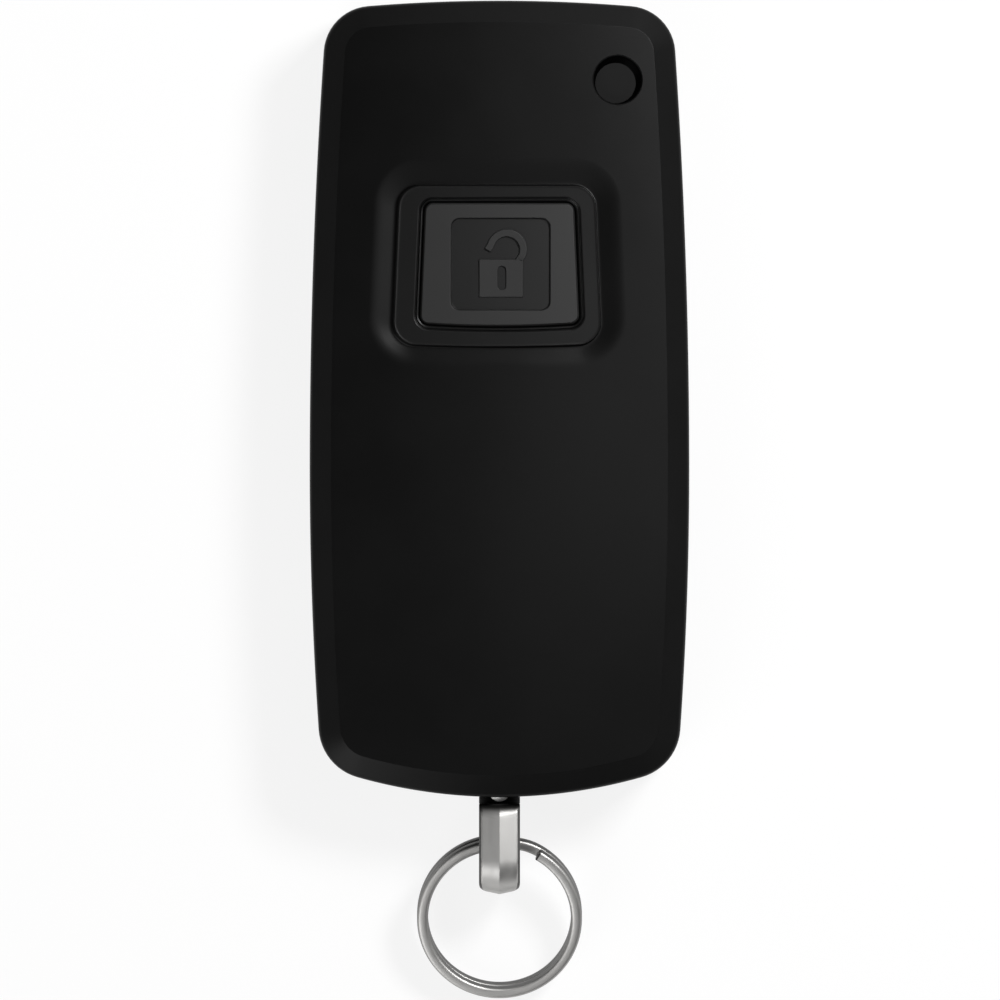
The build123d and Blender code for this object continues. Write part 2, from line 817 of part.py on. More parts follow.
def split_ring():
    """Two turns of wire: each runs almost a full turn at its own level, and a ramp joins them."""
    level = (wire_height + turn_gap) / 2
    ramp_start = step_angle + crossover_span
    turn = full_turn - crossover_span
    ring = revolve(ring_section(ramp_start, level), Axis.Z, turn)
    sections = []
    for step in range(crossover_sections):
        share = step / (crossover_sections - 1)
        lift = math.cos(math.pi * share)
        sections.append(ring_section(ramp_start - share * crossover_span, level * lift))
    ring += loft(sections, ruled=True)
    ring += revolve(ring_section(ramp_start, -level), Axis.Z, turn)
    droop = math.degrees(math.asin(droop_rise))
    return Pos(0, ring_centre_y, ring_centre_z) * Rot(droop, 0, 0) * ring


def pieces():
    return {
        "front_shell": front_shell,
        "rear_shell": rear_shell,
        "case_gasket": case_gasket,
        "case_screws": case_screws,
        "button_cap": button_cap,
        "button_membrane": button_membrane,
        "switch_base": switch_base,
        "switch_cover": switch_cover,
        "switch_dome": switch_dome,
        "switch_plunger": switch_plunger,
        "switch_terminals": switch_terminals,
        "led_window": led_window,
        "status_led": status_led,
        "circuit_board": circuit_board,
        "controller_chip": controller_chip,
        "radio_chip": radio_chip,
        "crystal": crystal,
        "chip_capacitors": chip_capacitors,
        "antenna_loop": antenna_loop,
        "battery_can": battery_can,
        "battery_seal": battery_seal,
        "battery_lid": battery_lid,
        "battery_clip": battery_clip,
        "battery_contact": battery_contact,
        "swivel_bush": swivel_bush,
        "swivel_pin": swivel_pin,
        "retaining_clip": retaining_clip,
        "swivel_loop": swivel_loop,
        "split_ring": split_ring,
    }


if __name__ == "__main__":
    os.makedirs("parts", exist_ok=True)
    for name, make in pieces().items():
        made = make()
        solid = Compound(children=made) if isinstance(made, list) else made
        export_step(solid, f"parts/{name}.step")
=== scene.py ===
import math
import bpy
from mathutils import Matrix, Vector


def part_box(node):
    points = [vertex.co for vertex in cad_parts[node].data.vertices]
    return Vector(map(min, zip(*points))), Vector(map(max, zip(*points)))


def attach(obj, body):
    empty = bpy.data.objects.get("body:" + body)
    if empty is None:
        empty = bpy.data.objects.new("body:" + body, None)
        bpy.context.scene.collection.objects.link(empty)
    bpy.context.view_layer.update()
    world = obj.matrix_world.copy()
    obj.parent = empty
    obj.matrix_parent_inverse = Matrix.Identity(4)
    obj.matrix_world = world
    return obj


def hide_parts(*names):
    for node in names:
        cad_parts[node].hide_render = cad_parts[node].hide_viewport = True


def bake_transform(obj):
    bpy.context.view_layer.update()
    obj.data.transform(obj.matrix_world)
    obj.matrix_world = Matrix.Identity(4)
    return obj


bl_info = {
    "name": "Door Lock Remote Control",
    "version": (1, 0, 0),
    "blender": (4, 5, 0),
    "location": "View3D > Sidebar > Remote",
    "description": "Builds a one-button door lock remote with a swivelling key loop and split ring",
    "category": "Object",
}

import bpy
import numpy as np

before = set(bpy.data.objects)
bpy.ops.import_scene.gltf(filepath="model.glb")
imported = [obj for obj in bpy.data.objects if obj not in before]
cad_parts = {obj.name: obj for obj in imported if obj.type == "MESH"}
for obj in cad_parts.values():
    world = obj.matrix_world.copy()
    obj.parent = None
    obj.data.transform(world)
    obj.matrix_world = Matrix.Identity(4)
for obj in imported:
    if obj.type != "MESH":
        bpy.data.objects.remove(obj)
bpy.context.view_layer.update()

# Shapes are worked out in millimetres and stored in metres, in the frame's own axes: +Z leaves the
# front face, +Y runs to the lamp's end and +X is to the right of someone who looks at the front.
# A size whose name ends in round is how far a corner's rounding reaches.
MM = 0.001


def box_mm(node):
    """Lowest and highest corner of a CAD node, in millimetres."""
    return [np.array(corner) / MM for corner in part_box(node)]


def srgb(code):
    """Turns a written sRGB colour into the linear one that shaders take."""
    parts = [int(code[start : start + 2], 16) / 255 for start in (1, 3, 5)]
    return tuple(
        part / 12.92 if part <= 0.04045 else ((part + 0.055) / 1.055) ** 2.4 for part in parts
    )


# Sizes that the frame gives
shell_low, shell_high = box_mm("front_shell")
ring_low, ring_high = box_mm("split_ring")
window_low, window_high = box_mm("led_window")
membrane_low, membrane_high = box_mm("button_membrane")
dome_low, dome_high = box_mm("switch_dome")
half_width = shell_high[0]
half_length = shell_high[1]
parting_height = shell_low[2]
crown_top = shell_high[2]
flange_low = box_mm("button_cap")[0][2]
loop_near_y = box_mm("swivel_loop")[1][1]

# Housing outline, seen from the front: arcs that run into each other
widest_y = -6.9
upper_side_radius = 610.0
lower_side_radius = 370.0
top_edge_radius = 158.0
bottom_edge_radius = 51.0
top_corner_radius = 4.7
bottom_corner_radius = 5.2
crown_cross_radius = 150.0
crown_long_radius = 700.0

# Walls and joint of the front shell
side_wall = 1.6
front_wall = 1.6
inner_bevel = 0.9
parting_chamfer = 0.2
rebate_inset = 0.82
rebate_height = 1.25
bevel_round = 0.015
side_round = 0.3
chamfer_round = 0.08
parting_round = 0.04

# Button cap, and the well that it slides in
cap_top_half = 7.15
cap_foot_half = 7.65
cap_top_y = 18.95
cap_foot_y = 7.45
cap_bow = 0.28
cap_bow_fade = 4
cap_corner_radius = 0.7
cap_edge = 0.12
cap_clearance = 0.22
cap_lip = 0.9
cap_flange = 0.8
cap_side_wall = 1.3
cap_skin = 1.5
cap_hollow_radius = 0.5
cap_chamfer_width = 0.16
cap_chamfer_height = 0.34
cap_flange_round = 0.1
cap_chamfer_round = 0.08
cap_top_round = 0.05
well_depth = 1.8
well_round = 0.05
collar_gap = 0.25
collar_wall = 1.0
collar_foot = 7.2
panel_x = 0.1
panel_y = 13.1
panel_corner_radius = 0.9
panel_draft = 0.978
panel_round = 0.05

# Lip of the well: how far each of its edges lies out from the opening and under the crown, and how
# round it is
opening_overhang = 0.07
lip_edges = (
    (0.0, 0.06, 0.07),
    (0.18, 0.0, 0.04),
    (0.3, 0.14, 0.04),
    (0.46, 0.0, 0.06),
)

# Rim round the button and the channel round that, as margins from the rim's outline
rim_corner_radius = 2.1
rim_x = -0.2
rim_flat = -0.18
rim_flat_round = 0.1
rim_bead = -0.03
rim_bead_round = 0.04
rim_bead_rise = 0.04
channel_near = 0.14
channel_near_round = 0.08
channel_far = 0.34
channel_far_round = 0.18
channel_rise_round = 1.0
channel_left = 0.14
channel_up = 0.35
channel_fade = 1.0
bevel_fade = 0.5

# Silicone membrane under the button, and the spring dome in its switch
membrane_foot = 0.9
membrane_root_half = 6.2
membrane_top_half = 4.2
membrane_sheet = 0.6
membrane_corner_radius = 0.05
membrane_pad_radius = 2.5
membrane_pad_height = 0.94
membrane_fixed = 8.5
dome_sheet = 0.1

# Raised sign of an open padlock on the button
sign_left = -1.95
sign_right = 2.25
sign_foot = 9.92
sign_top = 13.53
sign_root = 0.05
sign_round = 0.05
sign_draft = 0.09
sign_corner_radius = 0.1
sign_foot_radius = 0.15
keyhole_left = -0.2
keyhole_right = 0.64
keyhole_foot = 10.58
keyhole_top = 12.94
keyhole_roundness = 0.98
shackle_x = 0.71
shackle_y = 14.53
shackle_radius = 1.615
shackle_width = 0.65
shackle_draft = 1.22
shackle_arc = (-22, 163)
shackle_overlap = 0.12
shackle_sink = 0.06
shackle_flare = ((-0.13, -0.22), (-0.3, -0.5))

# Lamp recess and its window, whose face is set off towards the foot and the left
lamp_x = 11.5
lamp_y = 31.05
lamp_radius = 2.35
lamp_edge = 0.12
window_radius = 2.3
window_depth = 1.0
window_lip = 0.24
window_flange = 0.7
window_fit = 0.05
face_x = -0.2
face_y = -0.3
face_radius = 1.98
face_dish = 0.04
pipe_radius = 1.5

# Key loop
loop_width = 4.0
loop_length = 8.5
loop_depth = 6.8
loop_strand = 1.1
loop_ridge = 0.33
loop_edge = 0.28
loop_near_radius = 1.0
loop_far_radius = 2.9
loop_eye_radius = 0.3
loop_eye_chamfer = 0.15
loop_eye_round = 0.06
loop_side_round = 0.1
loop_facet_round = 0.14
loop_ridge_round = 0.07
loop_camber = 0.05
loop_tip_length = 0.8
loop_tip_taper = 0.13
loop_girth = 11.0
loop_way_round = 26.0

# Painted shade on the loop's skin, which darkens its colour: along its edges, by a share of their
# width, and near the collar, where it fades out
painted_shade_edge = 0.8
painted_shade_reach = 1.2
painted_shade_fade = 0.95
painted_shade_depth = 1.25

# Metal disc in the collar, and a black washer between collar and loop as painted shade
disc_y = -38.21
disc_near_y = -38.84
disc_radius = 1.04
disc_top = 8.65
disc_dome = 0.3
disc_thickness = 0.45
washer_radius = 1.97
washer_middle = 0.4
washer_high = 0.04
washer_low = -0.2

# Split ring. Lengths along the wire are degrees about the ring's middle. The wire keeps its colour
# over a share of its flat; painted shade darkens it with a power of the way from there to its side.
ring_diameter = 16.1
wire_width = 1.08
wire_height = 1.3
turn_gap = 0.1
ring_lean = 15.88
step_angle = 60.0
crossover_span = 44.0
full_turn = 360.0
wire_end_steps = (0.2, 0.9, 1.1)
wire_end_share = 0.9
painted_shadow_wire_end = 1.0
flat_share = 0.6
painted_shade_power = 1.5

# How finely the surfaces are divided
top_steps = 16
corner_steps = 12
upper_side_steps = 26
lower_side_steps = 18
foot_steps = 16
crown_rows = 36
inner_crown_rows = 12
soft_steps = 5
window_steps = 72
cutter_steps = 96
washer_steps = 64
dome_steps = 64
shackle_steps = 40
loop_arc_steps = 13
loop_run_steps = 14
loop_near_steps = 10
disc_arc_steps = 40
disc_chord_steps = 24
section_steps = 40
wire_steps = 320

# Where the rows of a surface lie that is drawn in towards its middle, or out from it
hollow_middle = 0.3
cap_rows = (0.35, 0.7)
panel_rows = (0.8, 0.55, 0.3, 0.1)
membrane_middle = 1.0
dome_rows = (0.1, 0.3, 0.5, 0.7, 0.85, 1.0)
window_rows = (1, 0.985, 0.8, 0.4)
disc_rows = (1, 0.96, 0.8, 0.6, 0.4, 0.2)

# How a rounded corner is laid out: the most of the way to the next row that it may take, the most
# that the row beside it may take, and how many radii away that row lies
corner_share = 0.4
guard_share = 0.46
guard_radii = 1.3

# Edges that bend by more than this stay crisp
sharp_angle = math.radians(40)

# Finishes: the size of the soft patches and the noise between which they fade, the drawn lines'
# length over their width, the tarnish patches and the colour left under tarnish and painted shade,
# how far a line's gloss strays, and what is left of the button's colour in its panel
patch_size = 9.0
patch_from = 0.3
patch_to = 0.7
line_stretch = 30
tarnish_size = 2.5
tarnish_share = 0.15
tarnish_and_shade_share = 0.12
gloss_gain = 0.06
gloss_loss = 0.1
panel_share = 0.12

# How the photograph was framed: millimetres per pixel, and the pixel over the frame's origin
photo_scale = 0.09737
photo_pixels = 1000
origin_pixel_x = 499.5
origin_pixel_y = 398.75

# Camera, floor and lamps, in metres
camera_height = 4.0
nearest_seen = 0.1
farthest_seen = 20.0
floor_half = 2.0
floor_level = -0.00002
lamp_aim_y = -0.01

# Each lamp: the setting that holds its power, its side in metres, its tilt from straight above and
# its bearing from +X in degrees, and its distance in metres
lamps = {
    "main_lamp": ("key_power", 0.13, 41, 42, 0.5),
    "second_lamp": ("fill_power", 0.40, 54, -129, 0.6),
    "ring_lamp": ("ring_power", 0.22, 33, -118, 0.5),
    "top_lamp": ("top_power", 0.35, 62, 75, 0.6),
    "near_lamp": ("sheen_power", 0.05, 9, 10, 0.18),
}

# The floor's own share of its light, and the sky in mirrors: white up to the first height of its
# direction, and dim from the second one on
floor_glow = 0.86
sky_white_to = 0.02
sky_dim_from = 0.25
sky_overhead = 0.05
sky_least = 0.02


def turn_angle(way):
    """Direction of a flat vector, in radians."""
    return math.atan2(way[1], way[0])


def round_way(angle):
    """Unit vectors at some angles, in radians."""
    return np.stack((np.cos(angle), np.sin(angle)), axis=-1)


def mirrored(half):
    """Closes the right half of an outline, from top to bottom, with its mirror image."""
    return np.concatenate((half, half[-2:0:-1] * (-1, 1)))


def raised(outline, height):
    """Gives a flat outline its height, one number or one for each point."""
    return np.column_stack((outline, np.broadcast_to(height, len(outline))))


def circles_meet(centre_a, radius_a, centre_b, radius_b, side):
    """Where two circles cross, to the left (1) or right (-1) of the way from a to b."""
    gap = centre_b - centre_a
    length = np.linalg.norm(gap)
    along = (radius_a**2 - radius_b**2 + length**2) / (2 * length)
    across = math.sqrt(radius_a**2 - along**2)
    way = gap / length
    return centre_a + way * along + np.array((-way[1], way[0])) * across * side


def housing_parts():
    """Centre, radius and outward direction of each outline point, for the right half.

    A point of the outline is its arc's centre plus the radius along its direction, so the outline
    drawn in by an inset has the same centres and directions and a shorter radius.
    """
    top = np.array((0, half_length - top_edge_radius))
    foot = np.array((0, bottom_edge_radius - half_length))
    upper = np.array((half_width - upper_side_radius, widest_y))
    lower = np.array((half_width - lower_side_radius, widest_y))
    top_corner = circles_meet(
        upper,
        upper_side_radius - top_corner_radius,
        top,
        top_edge_radius - top_corner_radius,
        1,
    )
    foot_corner = circles_meet(
        lower,
        lower_side_radius - bottom_corner_radius,
        foot,
        bottom_edge_radius - bottom_corner_radius,
        -1,
    )
    turns = [
        math.pi / 2,
        turn_angle(top_corner - top),
        turn_angle(top_corner - upper),
        0,
        turn_angle(foot_corner - lower),
        turn_angle(foot_corner - foot),
        -math.pi / 2,
    ]
    centres = (top, top_corner, upper, lower, foot_corner, foot)
    radii = (
        top_edge_radius,
        top_corner_radius,
        upper_side_radius,
        lower_side_radius,
        bottom_corner_radius,
        bottom_edge_radius,
    )
    steps = (
        top_steps,
        corner_steps,
        upper_side_steps,
        lower_side_steps,
        corner_steps,
        foot_steps,
    )
    angles = [np.linspace(a, b, n, endpoint=False) for a, b, n in zip(turns, turns[1:], steps)]
    counts = list(steps[:-1]) + [foot_steps + 1]
    return (
        np.repeat(centres, counts, axis=0),
        np.repeat(radii, counts),
        round_way(np.concatenate((*angles, [turns[-1]]))),
    )


def housing_loop(inset=0.0):
    """The housing's outline, drawn in by inset."""
    centres, radii, ways = housing_parts()
    return mirrored(centres + (radii - inset)[:, None] * ways)


def four_sided(top_half, foot_half, top_y, foot_y, radius, bow=0.0):
    """Two level sides and two leaning ones, joined by round corners; the foot bows as a parabola.

    Its points keep step with those of the housing's outline: level side, corner, side, corner,
    foot. The bow fades towards the top with a power of the height, so that the corners there stay.
    """
    corners = np.array(((top_half, top_y), (foot_half, foot_y)), float)
    lean = (corners[1] - corners[0]) / np.linalg.norm(corners[1] - corners[0])
    ways_in = (np.array((-1.0, 0.0)), -lean)
    ways_out = (lean, np.array((-1.0, 0.0)))
    parts = []
    start = np.array((0.0, top_y))
    spans = (top_steps, upper_side_steps + lower_side_steps)
    for corner, way_in, way_out, steps in zip(corners, ways_in, ways_out, spans):
        half_angle = math.acos(np.clip(way_in @ way_out, -1, 1)) / 2
        bisector = (way_in + way_out) / np.linalg.norm(way_in + way_out)
        centre = corner + bisector * radius / math.sin(half_angle)
        reach = radius / math.tan(half_angle)
        first, last = corner + way_in * reach, corner + way_out * reach
        shares = np.linspace(0, 1, steps, endpoint=False)[:, None]
        parts.append(start + (first - start) * shares)
        turns = np.linspace(
            turn_angle(first - centre), turn_angle(last - centre), corner_steps, endpoint=False
        )
        parts.append(centre + radius * round_way(turns))
        start = last
    shares = np.linspace(0, 1, foot_steps + 1)[:, None]
    parts.append(start + (np.array((0.0, foot_y)) - start) * shares)
    half = np.concatenate(parts)
    fall = np.clip((top_y - half[:, 1]) / (top_y - foot_y), 0, 1) ** cap_bow_fade
    half[:, 1] -= bow * (1 - (half[:, 0] / foot_half) ** 2) * fall
    return mirrored(half)


def cap_loop(side, top=None, foot=None, radius=None):
    """The button's outline, let out by one margin or by three."""
    top = side if top is None else top
    foot = side if foot is None else foot
    radius = cap_corner_radius + side if radius is None else radius
    lean = (cap_foot_half - cap_top_half) / (cap_top_y - cap_foot_y)
    return four_sided(
        cap_top_half + side - lean * top,
        cap_foot_half + side + lean * foot,
        cap_top_y + top,
        cap_foot_y - foot,
        radius,
        cap_bow,
    )


def crown(outline, drop=0.0):
    """Height of the crowned front face: a barrel's skin, a long arc turned about a long axis."""
    fall = crown_long_radius - np.sqrt(crown_long_radius**2 - outline[:, 1] ** 2)
    arm = crown_cross_radius - fall
    return crown_top - drop - crown_cross_radius + np.sqrt(arm**2 - outline[:, 0] ** 2)


def softened(corners):
    """Rows of a surface from its corner rows, each corner with a radius rounded by a parabola.

    corners holds pairs of a row of points and a radius. A rounded corner Q between the rows before
    and after it becomes (1-t)(1-t)A + 2t(1-t)Q + ttB, where A and B lie the radius away from Q
    towards those rows. A row on each side keeps the shading of the flats beside it flat.
    """
    rows = []
    share = np.linspace(0, 1, soft_steps + 1)[:, None, None]
    for index, (here, radius) in enumerate(corners):
        if not radius:
            rows.append(here[None])
            continue
        ends, guards = [], []
        for other in (corners[index - 1][0], corners[(index + 1) % len(corners)][0]):
            way = other - here
            length = np.maximum(np.linalg.norm(way, axis=1, keepdims=True), 1e-6)
            ends.append(here + way / length * np.minimum(radius, corner_share * length))
            guards.append(
                here + way / length * np.minimum(guard_radii * radius, guard_share * length)
            )
        bend = (1 - share) ** 2 * ends[0] + 2 * share * (1 - share) * here + share**2 * ends[1]
        rows += [guards[0][None], bend, guards[1][None]]
    return np.concatenate(rows)


def rows_of(corners):
    """How many rows softened makes of some corners."""
    return sum(soft_steps + 3 if radius else 1 for outline, radius in corners)


def surface(name, grid, closed=False, poles=(False, False), lengths=None):
    """Makes a mesh from rows of points in millimetres, each row a closed loop.

    closed joins the last row to the first. A pole closes the surface with a fan to a row's middle.
    lengths, in metres along the rows' way and round a row, lays a UV map in real sizes. Faces that
    would point inwards, which the volume's sign tells, are turned round.
    """
    rows, columns = grid.shape[:2]
    points = grid.reshape(-1, 3)
    row, column = np.meshgrid(
        np.arange(rows if closed else rows - 1), np.arange(columns), indexing="ij"
    )
    steps = ((0, 0), (0, 1), (1, 1), (1, 0))
    quads = [(row + down) % rows * columns + (column + over) % columns for down, over in steps]
    marks = [np.stack((row + down, column + over), axis=-1) for down, over in steps]
    faces = [np.stack(quads, axis=-1).reshape(-1, 4)]
    places = [np.stack(marks, axis=2).reshape(-1, 4, 2)]
    around = np.arange(columns)
    for is_last, wanted in enumerate(poles):
        if not wanted:
            continue
        edge = rows - 1 if is_last else 0
        here, there = edge * columns + around, edge * columns + (around + 1) % columns
        points = np.vstack((points, points[here].mean(axis=0)))
        tip = np.full(columns, len(points) - 1)
        first, last = (
            np.stack((np.full(columns, edge), around + over), axis=-1) for over in (0, 1)
        )
        fan = (here, there, tip) if is_last else (there, here, tip)
        fan_marks = (first, last, first) if is_last else (last, first, first)
        faces.append(np.stack(fan, axis=-1))
        places.append(np.stack(fan_marks, axis=1))
    a, b, c = (points[faces[0][:, k]] for k in (0, 1, 2))
    if np.einsum("ij,ij->", a, np.cross(b, c)) < 0:
        faces = [part[:, ::-1] for part in faces]
        places = [part[:, ::-1] for part in places]
    mesh = bpy.data.meshes.new(name)
    mesh.from_pydata((points * MM).tolist(), [], sum((part.tolist() for part in faces), []))
    if lengths:
        layer = mesh.uv_layers.new(name="wire")
        scale = np.array(lengths) / (rows - (not closed), columns)
        values = np.concatenate([part.reshape(-1, 2) for part in places]) * scale
        layer.data.foreach_set("uv", values.astype(np.float32).ravel())
    mesh.shade_smooth()
    mesh.set_sharp_from_angle(angle=sharp_angle)
    piece = bpy.data.objects.new(name, mesh)
    bpy.context.scene.collection.objects.link(piece)
    return piece


def mark_points(piece, name, values):
    """Notes a value for each of a piece's first points, for its material to read, and 0 after."""
    marks = np.zeros(len(piece.data.vertices), np.float32)
    marks[: len(values)] = values
    piece.data.attributes.new(name, "FLOAT", "POINT").data.foreach_set("value", marks)


def carve(piece, cutter):
    """Takes one closed mesh out of another and keeps the result as the piece's own mesh."""
    modifier = piece.modifiers.new("carve", "BOOLEAN")
    modifier.operation = "DIFFERENCE"
    modifier.solver = "EXACT"
    modifier.object = cutter
    view = bpy.context.evaluated_depsgraph_get()
    mesh = bpy.data.meshes.new_from_object(piece.evaluated_get(view))
    piece.modifiers.clear()
    old, old_cutter = piece.data, cutter.data
    piece.data = mesh
    bpy.data.objects.remove(cutter)
    bpy.data.meshes.remove(old)
    bpy.data.meshes.remove(old_cutter)
    mesh.set_sharp_from_angle(angle=sharp_angle)


def add_node(tree, kind, settings=None, links=None):
    """Adds a node, sets its sockets or properties and links sockets into it."""
    node = tree.nodes.new(kind)
    for key, value in (settings or {}).items():
        if isinstance(key, int) or key in node.inputs:
            node.inputs[key].default_value = value
        else:
            setattr(node, key, value)
    for key, socket in (links or {}).items():
        tree.links.new(socket, node.inputs[key])
    return node


def finish(
    name, colour, roughness, grain, relief, metallic=0.0, mottle=0.06, spread=0.02, **sockets
):
    """A material with fine grain in its relief and soft patches in its colour and gloss.

    grain is the spacing of the relief in millimetres and relief its height in micrometres. mottle
    is the share that the colour darkens by in patches, and spread how far the roughness strays.
    The patches are about as wide as a thumb's touch.
    """
    material = bpy.data.materials.new(name)
    material.use_nodes = True
    tree = material.node_tree
    shader = tree.nodes["Principled BSDF"]
    shader.inputs["Metallic"].default_value = metallic
    for key, value in sockets.items():
        socket = key.replace("_", " ").title().replace("Ior", "IOR")
        shader.inputs[socket].default_value = value
    place = add_node(tree, "ShaderNodeTexCoord").outputs["Object"]
    patches = add_node(
        tree,
        "ShaderNodeTexNoise",
        {"Scale": 1 / (patch_size * MM), "Detail": 3.0},
        {"Vector": place},
    ).outputs["Fac"]
    fine = add_node(
        tree, "ShaderNodeTexNoise", {"Scale": 1 / (grain * MM), "Detail": 2.0}, {"Vector": place}
    ).outputs["Fac"]
    dark = tuple(part * (1 - mottle) for part in colour)
    tint = add_node(
        tree,
        "ShaderNodeMix",
        {"data_type": "RGBA", 6: (*dark, 1), 7: (*colour, 1)},
        {"Factor": patches},
    )
    low, high = roughness - spread, roughness + spread
    gloss = add_node(
        tree,
        "ShaderNodeMapRange",
        {"From Min": patch_from, "From Max": patch_to, "To Min": low, "To Max": high},
        {"Value": patches},
    )
    finish_shader(tree, tint.outputs[2], gloss.outputs["Result"], fine, relief)
    return material


def finish_shader(tree, tint, gloss, height, relief):
    """Links a colour, a roughness and a relief, its height in micrometres, into the shader."""
    shader = tree.nodes["Principled BSDF"]
    bump = add_node(
        tree, "ShaderNodeBump", {"Distance": relief * MM * MM, "Strength": 1.0}, {"Height": height}
    )
    tree.links.new(tint, shader.inputs["Base Color"])
    tree.links.new(gloss, shader.inputs["Roughness"])
    tree.links.new(bump.outputs["Normal"], shader.inputs["Normal"])


def brushed(name, colour, roughness, side_shade_share, line, relief):
    """A plated wire's material: fine lines along the wire, and painted shade darkening its sides.

    line is the spacing of the lines in millimetres, relief their height in micrometres, and the
    share after the roughness is how far painted shade darkens the colour where the side attribute
    marks it, as on sides steep to the wire's flat. Faint tarnish lies over it in patches. Drawn
    lines are really about 0.01 mm apart, too fine to show, so they are drawn a few times as coarse.
    """
    material = bpy.data.materials.new(name)
    material.use_nodes = True
    tree = material.node_tree
    tree.nodes["Principled BSDF"].inputs["Metallic"].default_value = 1.0
    place = add_node(tree, "ShaderNodeTexCoord")
    along = add_node(
        tree,
        "ShaderNodeMapping",
        {"Scale": (1 / (line * line_stretch * MM), 1 / (line * MM), 1.0)},
        {"Vector": place.outputs["UV"]},
    )
    lines = add_node(
        tree,
        "ShaderNodeTexNoise",
        {"Scale": 1.0, "Detail": 3.0},
        {"Vector": along.outputs["Vector"]},
    ).outputs["Fac"]
    patches = add_node(
        tree,
        "ShaderNodeTexNoise",
        {"Scale": 1 / (tarnish_size * MM), "Detail": 4.0},
        {"Vector": place.outputs["Object"]},
    ).outputs["Fac"]
    # The side attribute marks painted shade, and painted shadow at a wire's cut ends
    side = add_node(tree, "ShaderNodeAttribute", {"attribute_name": "side"}).outputs["Fac"]
    painted_side_shade = add_node(
        tree, "ShaderNodeMath", {"operation": "MULTIPLY", 1: side_shade_share}, {0: side}
    ).outputs["Value"]
    tarnish_and_shade = add_node(
        tree,
        "ShaderNodeMath",
        {"operation": "MULTIPLY_ADD", 1: tarnish_share},
        {0: patches, 2: painted_side_shade},
    ).outputs["Value"]
    # Colour under tarnish and under painted shade
    dark = tuple(part * tarnish_and_shade_share for part in colour)
    tint = add_node(
        tree,
        "ShaderNodeMix",
        {"data_type": "RGBA", 6: (*colour, 1), 7: (*dark, 1)},
        {"Factor": tarnish_and_shade},
    )
    gloss = add_node(
        tree,
        "ShaderNodeMapRange",
        {"To Min": roughness - gloss_gain, "To Max": roughness + gloss_loss},
        {"Value": lines},
    )
    finish_shader(tree, tint.outputs[2], gloss.outputs["Result"], lines, relief)
    return material


def where_marked(material, attribute, colour):
    """Takes a material's colour to another where a point attribute is 1."""
    tree = material.node_tree
    shader = tree.nodes["Principled BSDF"]
    mark = add_node(tree, "ShaderNodeAttribute", {"attribute_name": attribute}).outputs["Fac"]
    tint = shader.inputs["Base Color"].links[0].from_socket
    other = add_node(
        tree,
        "ShaderNodeMix",
        {"data_type": "RGBA", 7: (*colour, 1)},
        {"Factor": mark, 6: tint},
    )
    tree.links.new(other.outputs[2], shader.inputs["Base Color"])
    return material


def shell_plastic(colour):
    """ABS moulded in a finely spark-eroded tool: black, its satin sheen fading over the crown.

    The rim round the button is a little greyer, where thumbs have worn it. The grain is
    really about 0.03 mm, too fine to show, and is drawn five times as coarse.
    """
    material = finish(
        "moulded_abs_black", colour, 0.37, grain=0.16, relief=1.2, specular_ior_level=0.21
    )
    return where_marked(material, "rim", srgb("#121212"))


def button_plastic(colour):
    """Softer moulded plastic in dark grey, duller than the shell and without its sheen.

    The sunken panel is nearly black. The grain is drawn as coarse as the shell's.
    """
    material = finish(
        "moulded_tpe_grey", colour, 0.55, grain=0.14, relief=1.6, specular_ior_level=0.3
    )
    return where_marked(material, "panel", [part * panel_share for part in colour])


def window_acrylic():
    """Cast, dull-polished smoked acrylic: dark grey face, its slope painted black as shadow."""
    material = finish(
        "smoked_acrylic", srgb("#202020"), 0.6, grain=0.3, relief=0.3, specular_ior_level=0.03
    )
    # Painted shadow: black colour where the recess's sloping side is marked
    return where_marked(material, "wall", srgb("#010101"))


def silicone_rubber():
    """Silicone rubber: dark grey, soft to the touch, with no gloss."""
    return finish("silicone_rubber", srgb("#3b3d40"), 0.7, grain=0.3, relief=2.0)


def spring_strip():
    """Stainless spring strip: bright, with the even sheen that rolling leaves."""
    return finish(
        "rolled_spring_steel", srgb("#b9b7b3"), 0.26, grain=0.15, relief=0.4, metallic=1.0
    )


def turned_nickel():
    """Nickel-plated steel, turned: bright and faintly lined."""
    return finish(
        "turned_nickel_steel", srgb("#f7f6f4"), 0.55, grain=0.12, relief=0.4, metallic=1.0
    )


def painted_shade_nylon():
    """Painted shade: black stamped nylon, dull, and it mirrors next to nothing."""
    return finish(
        "stamped_nylon_black", srgb("#050505"), 0.6, grain=0.1, relief=1.0, specular_ior_level=0.1
    )


def loop_metal(colour):
    """Zinc casting plated in satin nickel: warm grey, with wide soft reflections on its facets."""
    return brushed("satin_nickel_casting", colour, 0.46, side_shade_share=0.84, line=0.06, relief=0.5)


def ring_metal(colour):
    """Nickel-plated spring wire, drawn: lines along it, bright flats, painted shade in the gap."""
    return brushed("nickel_spring_wire", colour, 0.45, side_shade_share=0.9, line=0.05, relief=0.6)


def dress(piece, material):
    """Gives a piece one material in every slot."""
    if not piece.material_slots:
        piece.data.materials.append(material)
    for slot in piece.material_slots:
        slot.material = material


